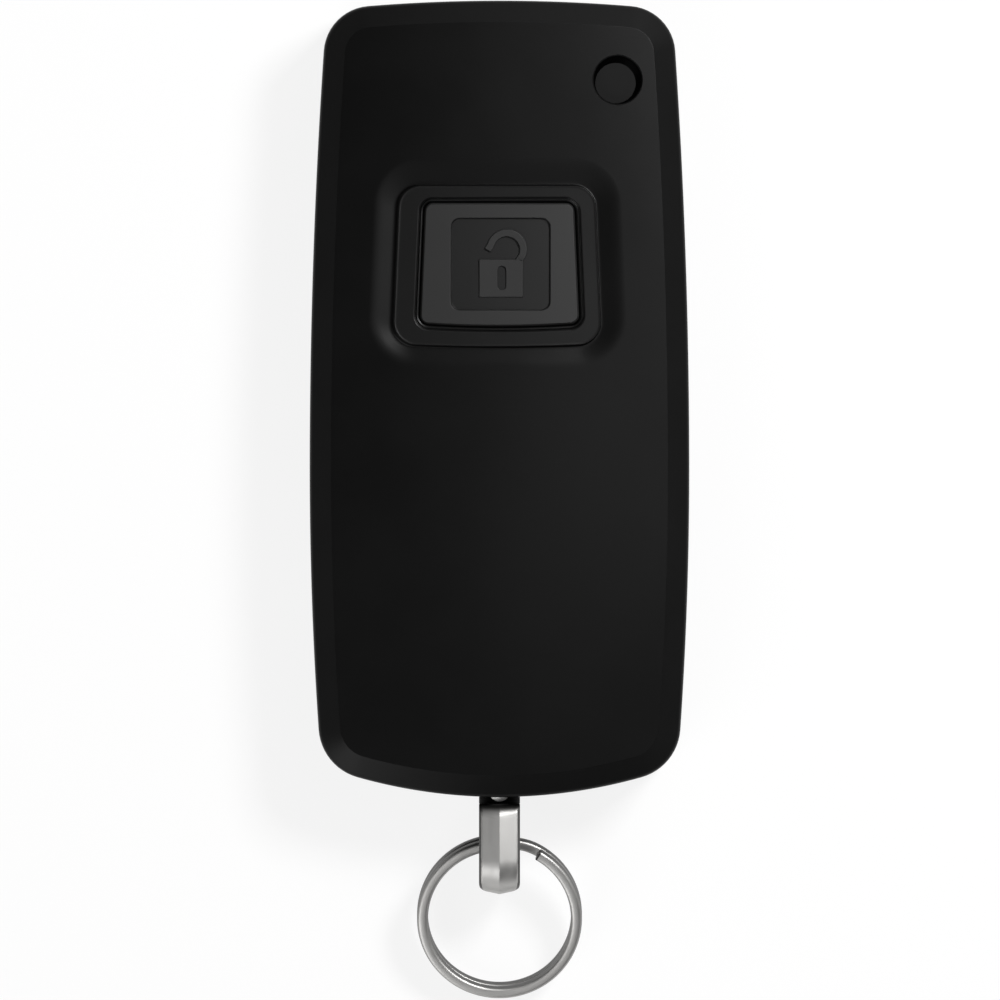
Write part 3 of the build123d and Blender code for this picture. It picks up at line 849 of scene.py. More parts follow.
def front_shell(sizes):
    """The front half of the housing as one closed skin: opening, rim, channel, crown and bevel.

    Outlines at their own heights run from the button's opening out over the crowned face, down the
    side, and back inside under the face to the collar that guides the button.
    """
    opening = cap_edge + cap_clearance - opening_overhang
    rim = [opening + width / MM for width in (sizes.rim_side, sizes.rim_top, sizes.rim_foot)]
    reach = sizes.channel_width / MM
    inside = cap_edge + cap_clearance + cap_lip + collar_gap
    depth = sizes.channel_depth / MM
    well = crown_top - well_depth
    bevel = sizes.bevel_width / MM

    def on_crown(outline, drop=0.0):
        return raised(outline, crown(outline, drop))

    def face_rows(inner, outer, shares, drop=0.0):
        return [(on_crown(inner + (outer - inner) * share, drop), 0) for share in shares]

    def round_rim(grow, left=0.0, up=0.0):
        widths = (width + grow for width in rim)
        return cap_loop(*widths, rim_corner_radius + grow) + (rim_x - left, up)

    corners = [(raised(cap_loop(opening), well), well_round)]
    for out, drop, radius in lip_edges:
        corners.append((on_crown(cap_loop(opening + out), drop), radius))
    before_rim = len(corners) - 1
    corners += [
        (on_crown(round_rim(rim_flat)), rim_flat_round),
        (on_crown(round_rim(rim_bead), -rim_bead_rise), rim_bead_round),
    ]
    past_rim = len(corners)
    corners += [
        (on_crown(round_rim(channel_near, left=channel_left), depth), channel_near_round),
        (on_crown(round_rim(channel_far, left=channel_left), depth), channel_far_round),
        (on_crown(round_rim(reach, up=channel_up)), channel_rise_round),
    ]
    corners += face_rows(
        round_rim(reach + channel_fade),
        housing_loop(bevel + bevel_fade),
        np.linspace(0, 1, crown_rows),
    )
    edge = housing_loop()
    corners += [
        (on_crown(housing_loop(bevel)), bevel_round),
        (raised(edge, crown(edge) - sizes.bevel_height / MM), side_round),
        (raised(edge, parting_height + parting_chamfer), chamfer_round),
        (raised(housing_loop(parting_chamfer), parting_height), parting_round),
        (raised(housing_loop(rebate_inset), parting_height), 0),
        (raised(housing_loop(rebate_inset), parting_height + rebate_height), 0),
        (raised(housing_loop(side_wall), parting_height + rebate_height), 0),
        (on_crown(housing_loop(side_wall), front_wall + inner_bevel), 0),
    ]
    corners += face_rows(
        cap_loop(inside + collar_wall),
        housing_loop(side_wall + inner_bevel),
        np.linspace(1, 0, inner_crown_rows),
        front_wall,
    )
    corners += [
        (raised(cap_loop(inside + collar_wall), collar_foot), 0),
        (raised(cap_loop(inside), collar_foot), 0),
        (raised(cap_loop(inside), well), 0),
    ]
    grid = softened(corners)
    shell = surface("front_shell_skin", grid, closed=True)
    on_rim = np.zeros(grid.shape[:2], np.float32)
    on_rim[rows_of(corners[:before_rim]) : rows_of(corners[:past_rim])] = 1
    mark_points(shell, "rim", on_rim.ravel())
    carve(shell, lamp_cutter())
    return shell


def lamp_cutter():
    """A round slug over the lamp, as circles; its flare at the crown leaves a fine edge."""
    turns = np.linspace(0, 2 * math.pi, cutter_steps, endpoint=False)
    rows = []
    for radius, rise in (
        (lamp_radius, -2 * front_wall),
        (lamp_radius, -lamp_edge),
        (lamp_radius + 2 * lamp_edge, lamp_edge),
        (lamp_radius + 2 * lamp_edge, front_wall),
    ):
        outline = np.array((lamp_x, lamp_y)) + radius * round_way(turns)
        rows.append(raised(outline, crown(outline) + rise))
    return surface("lamp_cutter", np.array(rows), poles=(True, True))


def lamp_window():
    """The dark window in the lamp's recess, carried up in circles from the light pipe.

    Its face is a smaller circle set towards the foot and the left, and a sloping side runs from the
    recess's mouth to it, painted black as shadow.
    """
    middle = np.array((lamp_x, lamp_y))
    face_middle = middle + (face_x, face_y)
    turns = np.linspace(0, 2 * math.pi, window_steps, endpoint=False)
    here = float(crown(middle[None])[0])
    flange = (window_high[0] - window_low[0]) / 2
    under = here - front_wall - window_flange
    face = here - window_depth
    pipe = middle + pipe_radius * round_way(turns)
    wide = middle + flange * round_way(turns)
    mouth = middle + window_radius * round_way(turns)
    rows = [
        raised(pipe, window_low[2]),
        raised(pipe, under),
        raised(wide, under),
        raised(wide, crown(wide, front_wall + window_fit)),
        raised(mouth, crown(mouth, front_wall + window_fit)),
        raised(mouth, crown(mouth, window_lip)),
    ]
    # The rows up to the face's rim are marked for painted shadow: black colour in the recess
    painted_shadow_rows = len(rows) + 1
    for share in window_rows:
        drawn = face_middle + face_radius * share * round_way(turns)
        rows.append(raised(drawn, face - face_dish * (1 - share)))
    window = surface("smoked_window_lens", np.array(rows), poles=(True, True))
    mark_points(window, "wall", np.ones(painted_shadow_rows * len(turns)))
    return window


def button_cap(sizes):
    """The button as one closed skin: flange, side, crowned top and the sunken panel of its sign.

    Its top follows the housing's crown, and falls further towards its sides as a parabola.
    """
    proud = -sizes.cap_proud / MM
    dome = sizes.cap_dome / MM
    ceiling = crown_top - proud - cap_skin
    hollow = cap_loop(cap_edge - cap_side_wall, radius=cap_hollow_radius)
    lip = cap_loop(cap_edge + cap_clearance + cap_lip)
    side = cap_loop(cap_edge)
    top = cap_loop(cap_edge - cap_chamfer_width)
    across, along = np.array((sizes.panel_width, sizes.panel_height)) / MM / 2
    panel = four_sided(across, across, panel_y + along, panel_y - along, panel_corner_radius)
    panel = panel + (panel_x, 0)
    sunk = proud + sizes.panel_depth / MM
    middle = np.array((panel_x, panel_y))

    def domed(outline, drop):
        return raised(outline, crown(outline, drop) - (outline[:, 0] / cap_foot_half) ** 2 * dome)

    def between(share):
        return top * (1 - share) + panel * share

    def drawn_in(outline, share):
        return middle + (outline - middle) * share

    corners = [
        (raised(drawn_in(hollow, hollow_middle), ceiling), 0),
        (raised(hollow, ceiling), 0),
        (raised(hollow, flange_low), cap_flange_round),
        (raised(lip, flange_low), cap_flange_round),
        (raised(lip, flange_low + cap_flange), cap_flange_round),
        (raised(side, flange_low + cap_flange), 0),
        (domed(side, proud + cap_chamfer_height), cap_chamfer_round),
        (domed(top, proud), cap_top_round),
        *((domed(between(share), proud), 0) for share in cap_rows),
        (domed(panel, proud), panel_round),
        (domed(drawn_in(panel, panel_draft), sunk), panel_round),
    ]
    first_sunk = rows_of(corners[:-1])
    corners += [(domed(drawn_in(panel, share), sunk), 0) for share in panel_rows]
    grid = softened(corners)
    rows, columns = grid.shape[:2]
    cap = surface("button_cap_skin", grid, poles=(True, True))
    sunken = np.zeros(len(cap.data.vertices), np.float32)
    sunken[first_sunk * columns : rows * columns] = 1
    sunken[-1] = 1
    mark_points(cap, "panel", sunken)
    return cap


def button_membrane():
    """The silicone membrane: a flat foot, a hood that narrows upwards and a round pad on it.

    Squares and circles about the switch's axis, from the hood's ceiling out and down inside, round
    the foot and up outside. The circles' points lie in the squares' points' directions.
    """
    middle = np.array(((membrane_low[0] + membrane_high[0]) / 2, (dome_low[1] + dome_high[1]) / 2))
    low, top = membrane_low[2], membrane_high[2]
    pad_low = top - membrane_pad_height
    ceiling = pad_low - membrane_sheet
    foot = cap_loop(cap_edge + cap_clearance + cap_lip + collar_gap + collar_wall)

    def square(half):
        return four_sided(half, half, half, -half, membrane_corner_radius) + middle

    def circle(radius):
        way = square(1.0) - middle
        return middle + radius * way / np.linalg.norm(way, axis=1, keepdims=True)

    share = membrane_foot / (pad_low - low)
    at_foot = membrane_root_half + (membrane_top_half - membrane_root_half) * share
    rows = [
        raised(circle(membrane_middle), ceiling),
        raised(circle(membrane_pad_radius), ceiling),
        raised(square(membrane_top_half - membrane_sheet), ceiling),
        raised(square(membrane_root_half - membrane_sheet), low),
        raised(foot, low),
        raised(foot, low + membrane_foot),
        raised(square(at_foot), low + membrane_foot),
        raised(square(membrane_top_half), pad_low),
        raised(circle(membrane_pad_radius), pad_low),
        raised(circle(membrane_pad_radius), top),
        raised(circle(membrane_middle), top),
    ]
    return surface("button_membrane_skin", np.array(rows), poles=(True, True))


def switch_dome():
    """The switch's spring dome: a thin shell between two like spheres, as circles on its axis."""
    middle = (dome_low[:2] + dome_high[:2]) / 2
    half = (dome_high[0] - dome_low[0]) / 2
    rise = dome_high[2] - dome_low[2] - dome_sheet
    radius = (half**2 + rise**2) / (2 * rise)
    turns = np.linspace(0, 2 * math.pi, dome_steps, endpoint=False)
    rows = []
    under = [(share, 0.0) for share in dome_rows]
    over = [(share, dome_sheet) for share in dome_rows[::-1]]
    for share, sheet in under + over:
        height = math.sqrt(radius**2 - (share * half) ** 2) - radius + rise + sheet
        rows.append(raised(middle + share * half * round_way(turns), dome_low[2] + height))
    return surface("switch_dome_strip", np.array(rows), poles=(True, True))


def sign_height(sizes):
    """Heights between which the sign stands: just under the panel's floor and its raised face."""
    middle = np.array(((panel_x, panel_y),))
    floor = float(crown(middle, sizes.panel_depth / MM - sizes.cap_proud / MM)[0])
    return floor - sign_root, floor + sizes.sign_rise / MM


def padlock_body(sizes):
    """The padlock's body: a square ring of a surface, round its outside and down its keyhole."""
    low, high = sign_height(sizes)
    middle = np.array(((sign_left + sign_right) / 2, 0))
    half = (sign_right - sign_left) / 2
    outside = four_sided(half, half, sign_top, sign_foot, sign_corner_radius) + middle
    wide = half + sign_draft
    foot = four_sided(wide, wide, sign_top + sign_draft, sign_foot - sign_draft, sign_foot_radius)
    hole_middle = np.array(((keyhole_left + keyhole_right) / 2, 0))
    hole_half = (keyhole_right - keyhole_left) / 2
    roundness = hole_half * keyhole_roundness
    hole = four_sided(hole_half, hole_half, keyhole_top, keyhole_foot, roundness) + hole_middle
    corners = [
        (raised(hole, low), 0),
        (raised(hole, high), sign_round),
        (raised(outside, high), sign_round),
        (raised(foot + middle, low), 0),
    ]
    return surface("padlock_sign_body", softened(corners), closed=True)


def padlock_shackle(sizes):
    """The padlock's open shackle: a flat strap along a leg, an arc and a short flared end."""
    low, high = sign_height(sizes)
    centre = np.array((shackle_x, shackle_y))
    turns = np.radians(np.linspace(*shackle_arc, shackle_steps))
    arc = centre + shackle_radius * round_way(turns)
    leg_x = sign_right - shackle_width / 2
    leg = np.array(((leg_x, sign_top - shackle_overlap), (leg_x, sign_top)))
    flare = arc[-1] + np.array(shackle_flare)
    path = np.concatenate((leg, arc, flare))
    way = np.gradient(path, axis=0)
    way /= np.linalg.norm(way, axis=1, keepdims=True)
    across = np.column_stack((way[:, 1], -way[:, 0]))
    half = shackle_width / 2
    sink = np.zeros(len(path))
    sink[0] = shackle_sink
    corners = []
    for side, height, radius in (
        (-shackle_draft, low, 0),
        (-1, high, sign_round),
        (1, high, sign_round),
        (shackle_draft, low, 0),
    ):
        corners.append((raised(path + across * half * side, height - sink), radius))
    rows = softened(corners).transpose(1, 0, 2)
    return surface("padlock_sign_shackle", rows, poles=(True, True))


def loop_outline(grow, on_eye):
    """The key loop's side view, let out by grow: a long box whose far corners are rounder.

    Each corner is an arc about its own centre, and the straights between them are divided evenly.
    Outside, not on the eye, the long sides have a parabola's camber, and the outline is stretched
    to start at the collar.
    """
    half = loop_depth / 2
    near_radius = loop_eye_radius + loop_strand if on_eye else loop_near_radius
    radii = np.array((near_radius, loop_far_radius, loop_far_radius, near_radius))
    centres = np.array(((0.0, -half), (loop_length, -half), (loop_length, half), (0.0, half)))
    centres = centres + radii[:, None] * ((1, 1), (-1, 1), (-1, -1), (1, -1))
    turns = np.radians(np.linspace(0, 90, loop_arc_steps))
    parts = []
    for centre, radius, start in zip(centres, radii, np.radians((180, 270, 0, 90))):
        arc = centre + (radius + grow) * round_way(start + turns)
        if parts:
            parts.append(np.linspace(parts[-1][-1], arc[0], loop_run_steps, endpoint=False)[1:])
        parts.append(arc)
    parts.append(np.linspace(parts[-1][-1], parts[0][0], loop_near_steps, endpoint=False)[1:])
    outline = np.concatenate(parts)
    if on_eye:
        return outline
    bulge = np.clip(1 - ((outline[:, 0] - loop_length / 2) / (loop_length / 2)) ** 2, 0, 1)
    outline[:, 1] += np.sign(outline[:, 1]) * bulge * loop_camber
    first, last = outline[:, 0].min(), outline[:, 0].max()
    outline[:, 0] = (outline[:, 0] - first) * last / (last - first)
    return outline


def key_loop():
    """The key loop: a five-sided strand with a ridge outside, bent round its eye.

    The strand's section is a list of corners: across the loop, outward from the loop's side view,
    and the corner's radius. The strand narrows towards the loop's tip as a parabola.
    """
    half = loop_width / 2
    facet = half - loop_edge
    flat = half - loop_eye_chamfer
    slope = loop_eye_chamfer - loop_strand
    outside = (
        (-half, -loop_edge, loop_side_round),
        (-facet, 0.0, loop_facet_round),
        (0.0, loop_ridge, loop_ridge_round),
        (facet, 0.0, loop_facet_round),
        (half, -loop_edge, loop_side_round),
    )
    eye = (
        (half, slope, loop_eye_round),
        (flat, -loop_strand, loop_eye_round),
        (-flat, -loop_strand, loop_eye_round),
        (-half, slope, loop_eye_round),
    )
    corners = []
    for on_eye, profile in enumerate((outside, eye)):
        for x, grow, radius in profile:
            outline = loop_outline(grow, on_eye)
            y = loop_near_y - outline[:, 0]
            strand = np.column_stack((np.full(len(y), x), y, parting_height + outline[:, 1]))
            corners.append((strand, radius))
    grid = softened(corners)
    past_tip = loop_near_y - loop_length + loop_tip_length - grid[..., 1]
    narrowed = 1 - loop_tip_taper * np.clip(past_tip / loop_tip_length, 0, 1) ** 2
    grid[..., 0] *= narrowed
    lengths = (loop_girth * MM, loop_way_round * MM)
    loop = surface("key_loop_casting", grid, closed=True, lengths=lengths)
    swap_uv(loop)
    # Painted shade: the strand's edges and its part near the collar are marked to darken its colour
    edge = np.abs(grid[..., 0]) > (half - loop_edge * painted_shade_edge) * narrowed
    recess = np.clip((grid[..., 1] - loop_near_y + painted_shade_reach) / painted_shade_fade, 0, 1) * painted_shade_depth
    mark_points(loop, "side", np.maximum(edge, recess).ravel())
    return loop


def swivel_washer():
    """Painted shade: a thin washer between loop and collar, as circles about the swivel's line."""
    turns = np.linspace(0, 2 * math.pi, washer_steps, endpoint=False)
    high, low = loop_near_y + washer_high, loop_near_y + washer_low
    rows = []
    for radius, y in (
        (washer_middle, high),
        (washer_radius, high),
        (washer_radius, low),
        (washer_middle, low),
    ):
        flat = radius * round_way(turns)
        line = np.full(len(flat), y)
        rows.append(np.column_stack((flat[:, 0], line, parting_height + flat[:, 1])))
    return surface("swivel_washer", np.array(rows), poles=(True, True))


def collar_disc():
    """A domed metal disc let into the collar, where the housing leaves a part of its circle bare.

    The arc and its chord are drawn in towards the segment's middle, and each point takes the height
    of a parabola turned about the disc's own middle.
    """
    middle = np.array((0.0, disc_y))
    reach = math.acos((disc_y - disc_near_y) / disc_radius)
    turns = np.linspace(-math.pi / 2 - reach, -math.pi / 2 + reach, disc_arc_steps)
    arc = middle + disc_radius * round_way(turns)
    chord = np.linspace(arc[-1], arc[0], disc_chord_steps)[1:-1]
    outline = np.concatenate((arc, chord))
    rows = [raised(outline, disc_top - disc_dome - disc_thickness)]
    for share in disc_rows:
        drawn = outline.mean(axis=0) + (outline - outline.mean(axis=0)) * share
        fall = ((drawn - middle) ** 2).sum(axis=1) / disc_radius**2 * disc_dome
        rows.append(raised(drawn, disc_top - fall))
    return surface("collar_disc", np.array(rows), poles=(True, True))


def swap_uv(piece):
    """Turns a UV map by a quarter, so that its first axis runs along the strand."""
    layer = piece.data.uv_layers[0]
    values = np.empty(len(layer.data) * 2, np.float32)
    layer.data.foreach_get("uv", values)
    layer.data.foreach_set("uv", values.reshape(-1, 2)[:, ::-1].ravel())


def wire_section(power):
    """The wire's section: a box with soft corners and faintly crowned sides, as a superellipse."""
    turns = np.linspace(0, 2 * math.pi, section_steps, endpoint=False)
    way = round_way(turns)
    return np.sign(way) * np.abs(way) ** (2 / power) * (wire_width / 2, wire_height / 2)


def split_ring(sizes):
    """The wire's section carried round two turns; a cosine ramp takes it from one to the other.

    The wire starts at step_angle and runs clockwise. Its own coils lie flat, and are then leant
    about the X axis as the ring hangs. Its sides and cut ends are marked for painted shade.
    """
    turn = full_turn - crossover_span
    last = full_turn + turn
    near_ends = [*wire_end_steps, *(last - step for step in wire_end_steps)]
    travel = np.sort(np.append(np.linspace(0, last, wire_steps), near_ends))
    radius = (ring_diameter - wire_width) / 2
    level = (wire_height + turn_gap) / 2
    ramp = np.clip((travel - turn) / crossover_span, 0, 1)
    heights = level * np.cos(math.pi * ramp)
    angle = np.radians(step_angle + full_turn - travel)
    out = np.column_stack((round_way(angle), np.zeros(len(angle))))
    section = wire_section(sizes.wire_squareness)
    shrink = np.ones(len(travel))
    shrink[[0, -1]] = wire_end_share
    middle = radius * out + heights[:, None] * (0, 0, 1)
    flat = shrink[:, None, None] * section
    grid = middle[:, None] + flat[..., :1] * out[:, None] + flat[..., 1:] * np.array((0, 0, 1))
    lean = math.radians(ring_lean)
    along, rise = math.cos(lean), math.sin(lean)
    tip = np.array(((1, 0, 0), (0, along, -rise), (0, rise, along)))
    centre = (ring_low + ring_high) / 2
    turned = grid @ tip.T + centre * (0, 1, 1)
    lengths = (math.radians(last) * radius * MM, 4 * wire_height * MM)
    ring = surface("split_ring_wire", turned, poles=(True, True), lengths=lengths)
    # Painted shade on the wire's sides, and painted shadow at its cut ends, darken their colour
    over = np.abs(section[:, 0]) / (wire_width / 2)
    painted_side_shade = np.clip((over - flat_share) / (1 - flat_share), 0, 1) ** painted_shade_power
    painted_side_shade = np.tile(painted_side_shade, (len(travel), 1))
    painted_side_shade[(travel < painted_shadow_wire_end) | (travel > last - painted_shadow_wire_end)] = 1
    mark_points(ring, "side", painted_side_shade.ravel())
    return ring


class RemoteShellSettings(bpy.types.PropertyGroup):
    """Sizes and colour of the front shell"""

    bevel_width: bpy.props.FloatProperty(
        name="Bevel width",
        description="Width of the bevel round the front face",
        default=2.1 * MM,
        unit="LENGTH",
    )
    bevel_height: bpy.props.FloatProperty(
        name="Bevel height",
        description="How far the bevel falls to the side",
        default=1.35 * MM,
        unit="LENGTH",
    )
    rim_side: bpy.props.FloatProperty(
        name="Rim at the sides",
        description="Width of the rim beside the button",
        default=2.15 * MM,
        unit="LENGTH",
    )
    rim_top: bpy.props.FloatProperty(
        name="Rim above",
        description="Width of the rim above the button",
        default=1.5 * MM,
        unit="LENGTH",
    )
    rim_foot: bpy.props.FloatProperty(
        name="Rim below",
        description="Width of the rim below the button",
        default=1.8 * MM,
        unit="LENGTH",
    )
    channel_width: bpy.props.FloatProperty(
        name="Channel width",
        description="Width of the soft channel round the rim",
        default=2.1 * MM,
        unit="LENGTH",
    )
    channel_depth: bpy.props.FloatProperty(
        name="Channel depth",
        description="Depth of the soft channel round the rim",
        default=0.36 * MM,
        unit="LENGTH",
    )
    colour: bpy.props.FloatVectorProperty(
        name="Shell colour",
        description="Colour of both shells",
        subtype="COLOR",
        default=srgb("#030303"),
        min=0,
        max=1,
    )


class RemoteButtonSettings(bpy.types.PropertyGroup):
    """Sizes and colour of the button"""

    cap_proud: bpy.props.FloatProperty(
        name="Button stands proud",
        description="Height of the button over the crown",
        default=0.2 * MM,
        unit="LENGTH",
    )
    cap_dome: bpy.props.FloatProperty(
        name="Button dome",
        description="How far the button's sides fall below its middle",
        default=0.16 * MM,
        unit="LENGTH",
    )
    panel_width: bpy.props.FloatProperty(
        name="Panel width",
        description="Width of the sunken panel",
        default=9.75 * MM,
        unit="LENGTH",
    )
    panel_height: bpy.props.FloatProperty(
        name="Panel height",
        description="Height of the sunken panel",
        default=9.05 * MM,
        unit="LENGTH",
    )
    panel_depth: bpy.props.FloatProperty(
        name="Panel depth", description="Depth of the sunken panel", default=0.3 * MM, unit="LENGTH"
    )
    sign_rise: bpy.props.FloatProperty(
        name="Sign height",
        description="Height of the padlock sign over the panel",
        default=0.18 * MM,
        unit="LENGTH",
    )
    colour: bpy.props.FloatVectorProperty(
        name="Button colour",
        description="Colour of the button",
        subtype="COLOR",
        default=srgb("#252525"),
        min=0,
        max=1,
    )


class RemoteMetalSettings(bpy.types.PropertyGroup):
    """Section of the ring's wire, and the colour of its plating and the loop's"""

    wire_squareness: bpy.props.FloatProperty(
        name="Wire squareness",
        description="2 is a round wire, and more is squarer",
        default=3.5,
        min=2,
        max=12,
    )
    colour: bpy.props.FloatVectorProperty(
        name="Metal colour",
        description="Colour of the plating",
        subtype="COLOR",
        default=srgb("#c5c4c2"),
        min=0,
        max=1,
    )


class RemoteStageSettings(bpy.types.PropertyGroup):
    """Powers of the lamps, and the floor's colour"""

    key_power: bpy.props.FloatProperty(
        name="Main lamp",
        description="Power of the soft lamp at the upper right",
        default=2.6,
        unit="POWER",
    )
    fill_power: bpy.props.FloatProperty(
        name="Second lamp",
        description="Power of the lamp at the lower left",
        default=1.25,
        unit="POWER",
    )
    ring_power: bpy.props.FloatProperty(
        name="Ring lamp",
        description="Power of the dim lamp that the split ring mirrors",
        default=0.12,
        unit="POWER",
    )
    top_power: bpy.props.FloatProperty(
        name="Top lamp",
        description="Power of the dim lamp beyond the lamp's end",
        default=0.32,
        unit="POWER",
    )
    sheen_power: bpy.props.FloatProperty(
        name="Near lamp",
        description="Power of the small lamp over the face, which gives its middle a sheen",
        default=0.011,
        unit="POWER",
    )
    floor_colour: bpy.props.FloatVectorProperty(
        name="Floor colour",
        description="Colour of the floor",
        subtype="COLOR",
        default=srgb("#f7f7f7"),
        min=0,
        max=1,
    )


class REMOTE_OT_front_shell(bpy.types.Operator):
    """Makes the moulded front shell"""

    bl_idname = "remote.front_shell"
    bl_label = "Front shell"

    def execute(self, context):
        sizes = context.scene.remote_shell
        shell = front_shell(sizes)
        dress(shell, shell_plastic(sizes.colour))
        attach(shell, "housing")
        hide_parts("front_shell")
        return {"FINISHED"}


class REMOTE_OT_button(bpy.types.Operator):
    """Makes the button cap and the padlock sign on it"""

    bl_idname = "remote.button"
    bl_label = "Button"

    def execute(self, context):
        sizes = context.scene.remote_button
        plastic = button_plastic(sizes.colour)
        cap = button_cap(sizes)
        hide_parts("button_cap")
        for piece in (cap, padlock_body(sizes), padlock_shackle(sizes)):
            dress(piece, plastic)
            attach(piece, "button")
        return {"FINISHED"}


class REMOTE_OT_lamp_window(bpy.types.Operator):
    """Makes the smoked window over the status lamp"""

    bl_idname = "remote.lamp_window"
    bl_label = "Lamp window"

    def execute(self, context):
        window = lamp_window()
        dress(window, window_acrylic())
        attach(window, "housing")
        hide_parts("led_window")
        return {"FINISHED"}


class REMOTE_OT_flexing_parts(bpy.types.Operator):
    """Makes the silicone membrane and the switch's dome under the button"""

    bl_idname = "remote.flexing_parts"
    bl_label = "Membrane and dome"

    def execute(self, context):
        membrane = button_membrane()
        dress(membrane, silicone_rubber())
        dome = switch_dome()
        dress(dome, spring_strip())
        for piece, node, mover, slot, low, high in (
            (membrane, "button_membrane", "button", "silicone", membrane_fixed, membrane_high[2]),
            (dome, "switch_dome", "switch_button", "spring_steel", dome_low[2], dome_high[2]),
        ):
            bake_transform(piece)
            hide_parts(node)
        return {"FINISHED"}


class REMOTE_OT_key_loop(bpy.types.Operator):
    """Makes the cast key loop, the metal disc, and the washer of painted shade beside it"""

    bl_idname = "remote.key_loop"
    bl_label = "Key loop"

    def execute(self, context):
        loop = key_loop()
        dress(loop, loop_metal(context.scene.remote_metal.colour))
        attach(loop, "swivel")
        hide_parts("swivel_loop")
        disc = collar_disc()
        dress(disc, turned_nickel())
        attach(disc, "housing")
        washer = swivel_washer()
        dress(washer, painted_shade_nylon())
        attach(washer, "swivel")
        return {"FINISHED"}


class REMOTE_OT_split_ring(bpy.types.Operator):
    """Makes the split ring from its wire"""

    bl_idname = "remote.split_ring"
    bl_label = "Split ring"

    def execute(self, context):
        sizes = context.scene.remote_metal
        ring = split_ring(sizes)
        dress(ring, ring_metal(sizes.colour))
        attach(ring, "ring")
        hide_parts("split_ring")
        return {"FINISHED"}


class REMOTE_OT_finishes(bpy.types.Operator):
    """Gives the other parts of the frame their finishes"""

    bl_idname = "remote.finishes"
    bl_label = "Finishes"

    def execute(self, context):
        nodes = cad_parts
        made = bpy.data.materials
        colour = context.scene.remote_shell.colour
        shell = made.get("moulded_abs_black") or shell_plastic(colour)
        spring = made.get("rolled_spring_steel") or spring_strip()
        silicone = made.get("silicone_rubber") or silicone_rubber()
        # Black acetal, turned and left dull: a bearing surface
        bush = finish(
            "turned_acetal_black",
            srgb("#040404"),
            0.65,
            grain=0.2,
            relief=0.8,
            specular_ior_level=0.08,
        )
        # Zinc-plated steel: bluish white, with the dull bloom of the bath
        zinc = finish(
            "zinc_plated_steel", srgb("#aeb2b5"), 0.34, grain=0.1, relief=0.8, metallic=1.0
        )
        # Glass-fibre board under green solder mask
        board = finish(
            "solder_mask_green", srgb("#1d5a34"), 0.35, grain=0.5, relief=3.0, mottle=0.3
        )
        # Moulded epoxy of a chip: charcoal, finely sandy
        epoxy = finish("chip_moulding_epoxy", srgb("#1b1c1e"), 0.62, grain=0.1, relief=2.0)
        # Fired ceramic: tan, matt
        ceramic = finish("fired_ceramic_tan", srgb("#a98a63"), 0.5, grain=0.1, relief=1.0)
        # Enamelled copper wire: warm, with the enamel's gloss
        copper = finish(
            "enamelled_copper", srgb("#b5683b"), 0.3, grain=0.2, relief=0.6, metallic=1.0
        )
        # Nickel-plated can of a coin cell: bright, faintly scratched
        can = finish(
            "nickel_plated_can", srgb("#c4c3bf"), 0.2, grain=0.08, relief=0.4, metallic=1.0
        )
        # Undyed nylon of the cell's seal: off-white, waxy
        seal = finish("natural_nylon", srgb("#d8d4c6"), 0.5, grain=0.2, relief=1.0)
        # Glass-filled black nylon of the switch: dull, a little rough from its fibres
        nylon = finish("glass_filled_nylon_black", srgb("#151515"), 0.5, grain=0.1, relief=2.0)
        # Cast epoxy of the lamp: amber, half clear, glossy
        amber = finish(
            "cast_epoxy_amber",
            srgb("#d9a441"),
            0.15,
            grain=0.3,
            relief=0.3,
            transmission_weight=0.6,
        )
        for material, names in (
            (shell, ("rear_shell",)),
            (bush, ("swivel_bush",)),
            (zinc, ("case_screws", "swivel_pin", "switch_terminals", "crystal")),
            (spring, ("retaining_clip", "battery_clip", "battery_contact", "switch_cover")),
            (silicone, ("case_gasket",)),
            (board, ("circuit_board",)),
            (epoxy, ("controller_chip", "radio_chip")),
            (ceramic, ("chip_capacitors",)),
            (copper, ("antenna_loop",)),
            (can, ("battery_can", "battery_lid")),
            (seal, ("battery_seal",)),
            (nylon, ("switch_base", "switch_plunger")),
            (amber, ("status_led",)),
        ):
            for name in names:
                dress(nodes[name], material)
        return {"FINISHED"}


class REMOTE_OT_stage(bpy.types.Operator):
    """Sets up the floor, the lamps, the sky and the camera"""

    bl_idname = "remote.stage"
    bl_label = "Stage"

    def execute(self, context):
        sizes = context.scene.remote_stage
        floor = pale_floor()
        dress(floor, floor_material(sizes.floor_colour))
        for name, (power, *place) in lamps.items():
            lamp(name, getattr(sizes, power), *place)
        pale_sky(context.scene)
        photo_camera(context.scene)
        context.scene.view_settings.view_transform = "Standard"
        return {"FINISHED"}


def pale_floor():
    """A flat square that the remote lies on, a hair below its back so that no plane is shared."""
    corners = [
        (x * floor_half, y * floor_half, floor_level)
        for x, y in ((-1, -1), (1, -1), (1, 1), (-1, 1))
    ]
    mesh = bpy.data.meshes.new("floor")
    mesh.from_pydata(corners, [], [(0, 1, 2, 3)])
    floor = bpy.data.objects.new("floor", mesh)
    bpy.context.scene.collection.objects.link(floor)
    return floor


def seen_directly(tree):
    """Two sockets: 1 where a ray comes from the camera, and 1 where from a mirror or glass."""
    path = add_node(tree, "ShaderNodeLightPath")
    mirror = add_node(
        tree,
        "ShaderNodeMath",
        {"operation": "MAXIMUM"},
        {0: path.outputs["Is Glossy Ray"], 1: path.outputs["Is Transmission Ray"]},
    )
    return path.outputs["Is Camera Ray"], mirror.outputs["Value"]


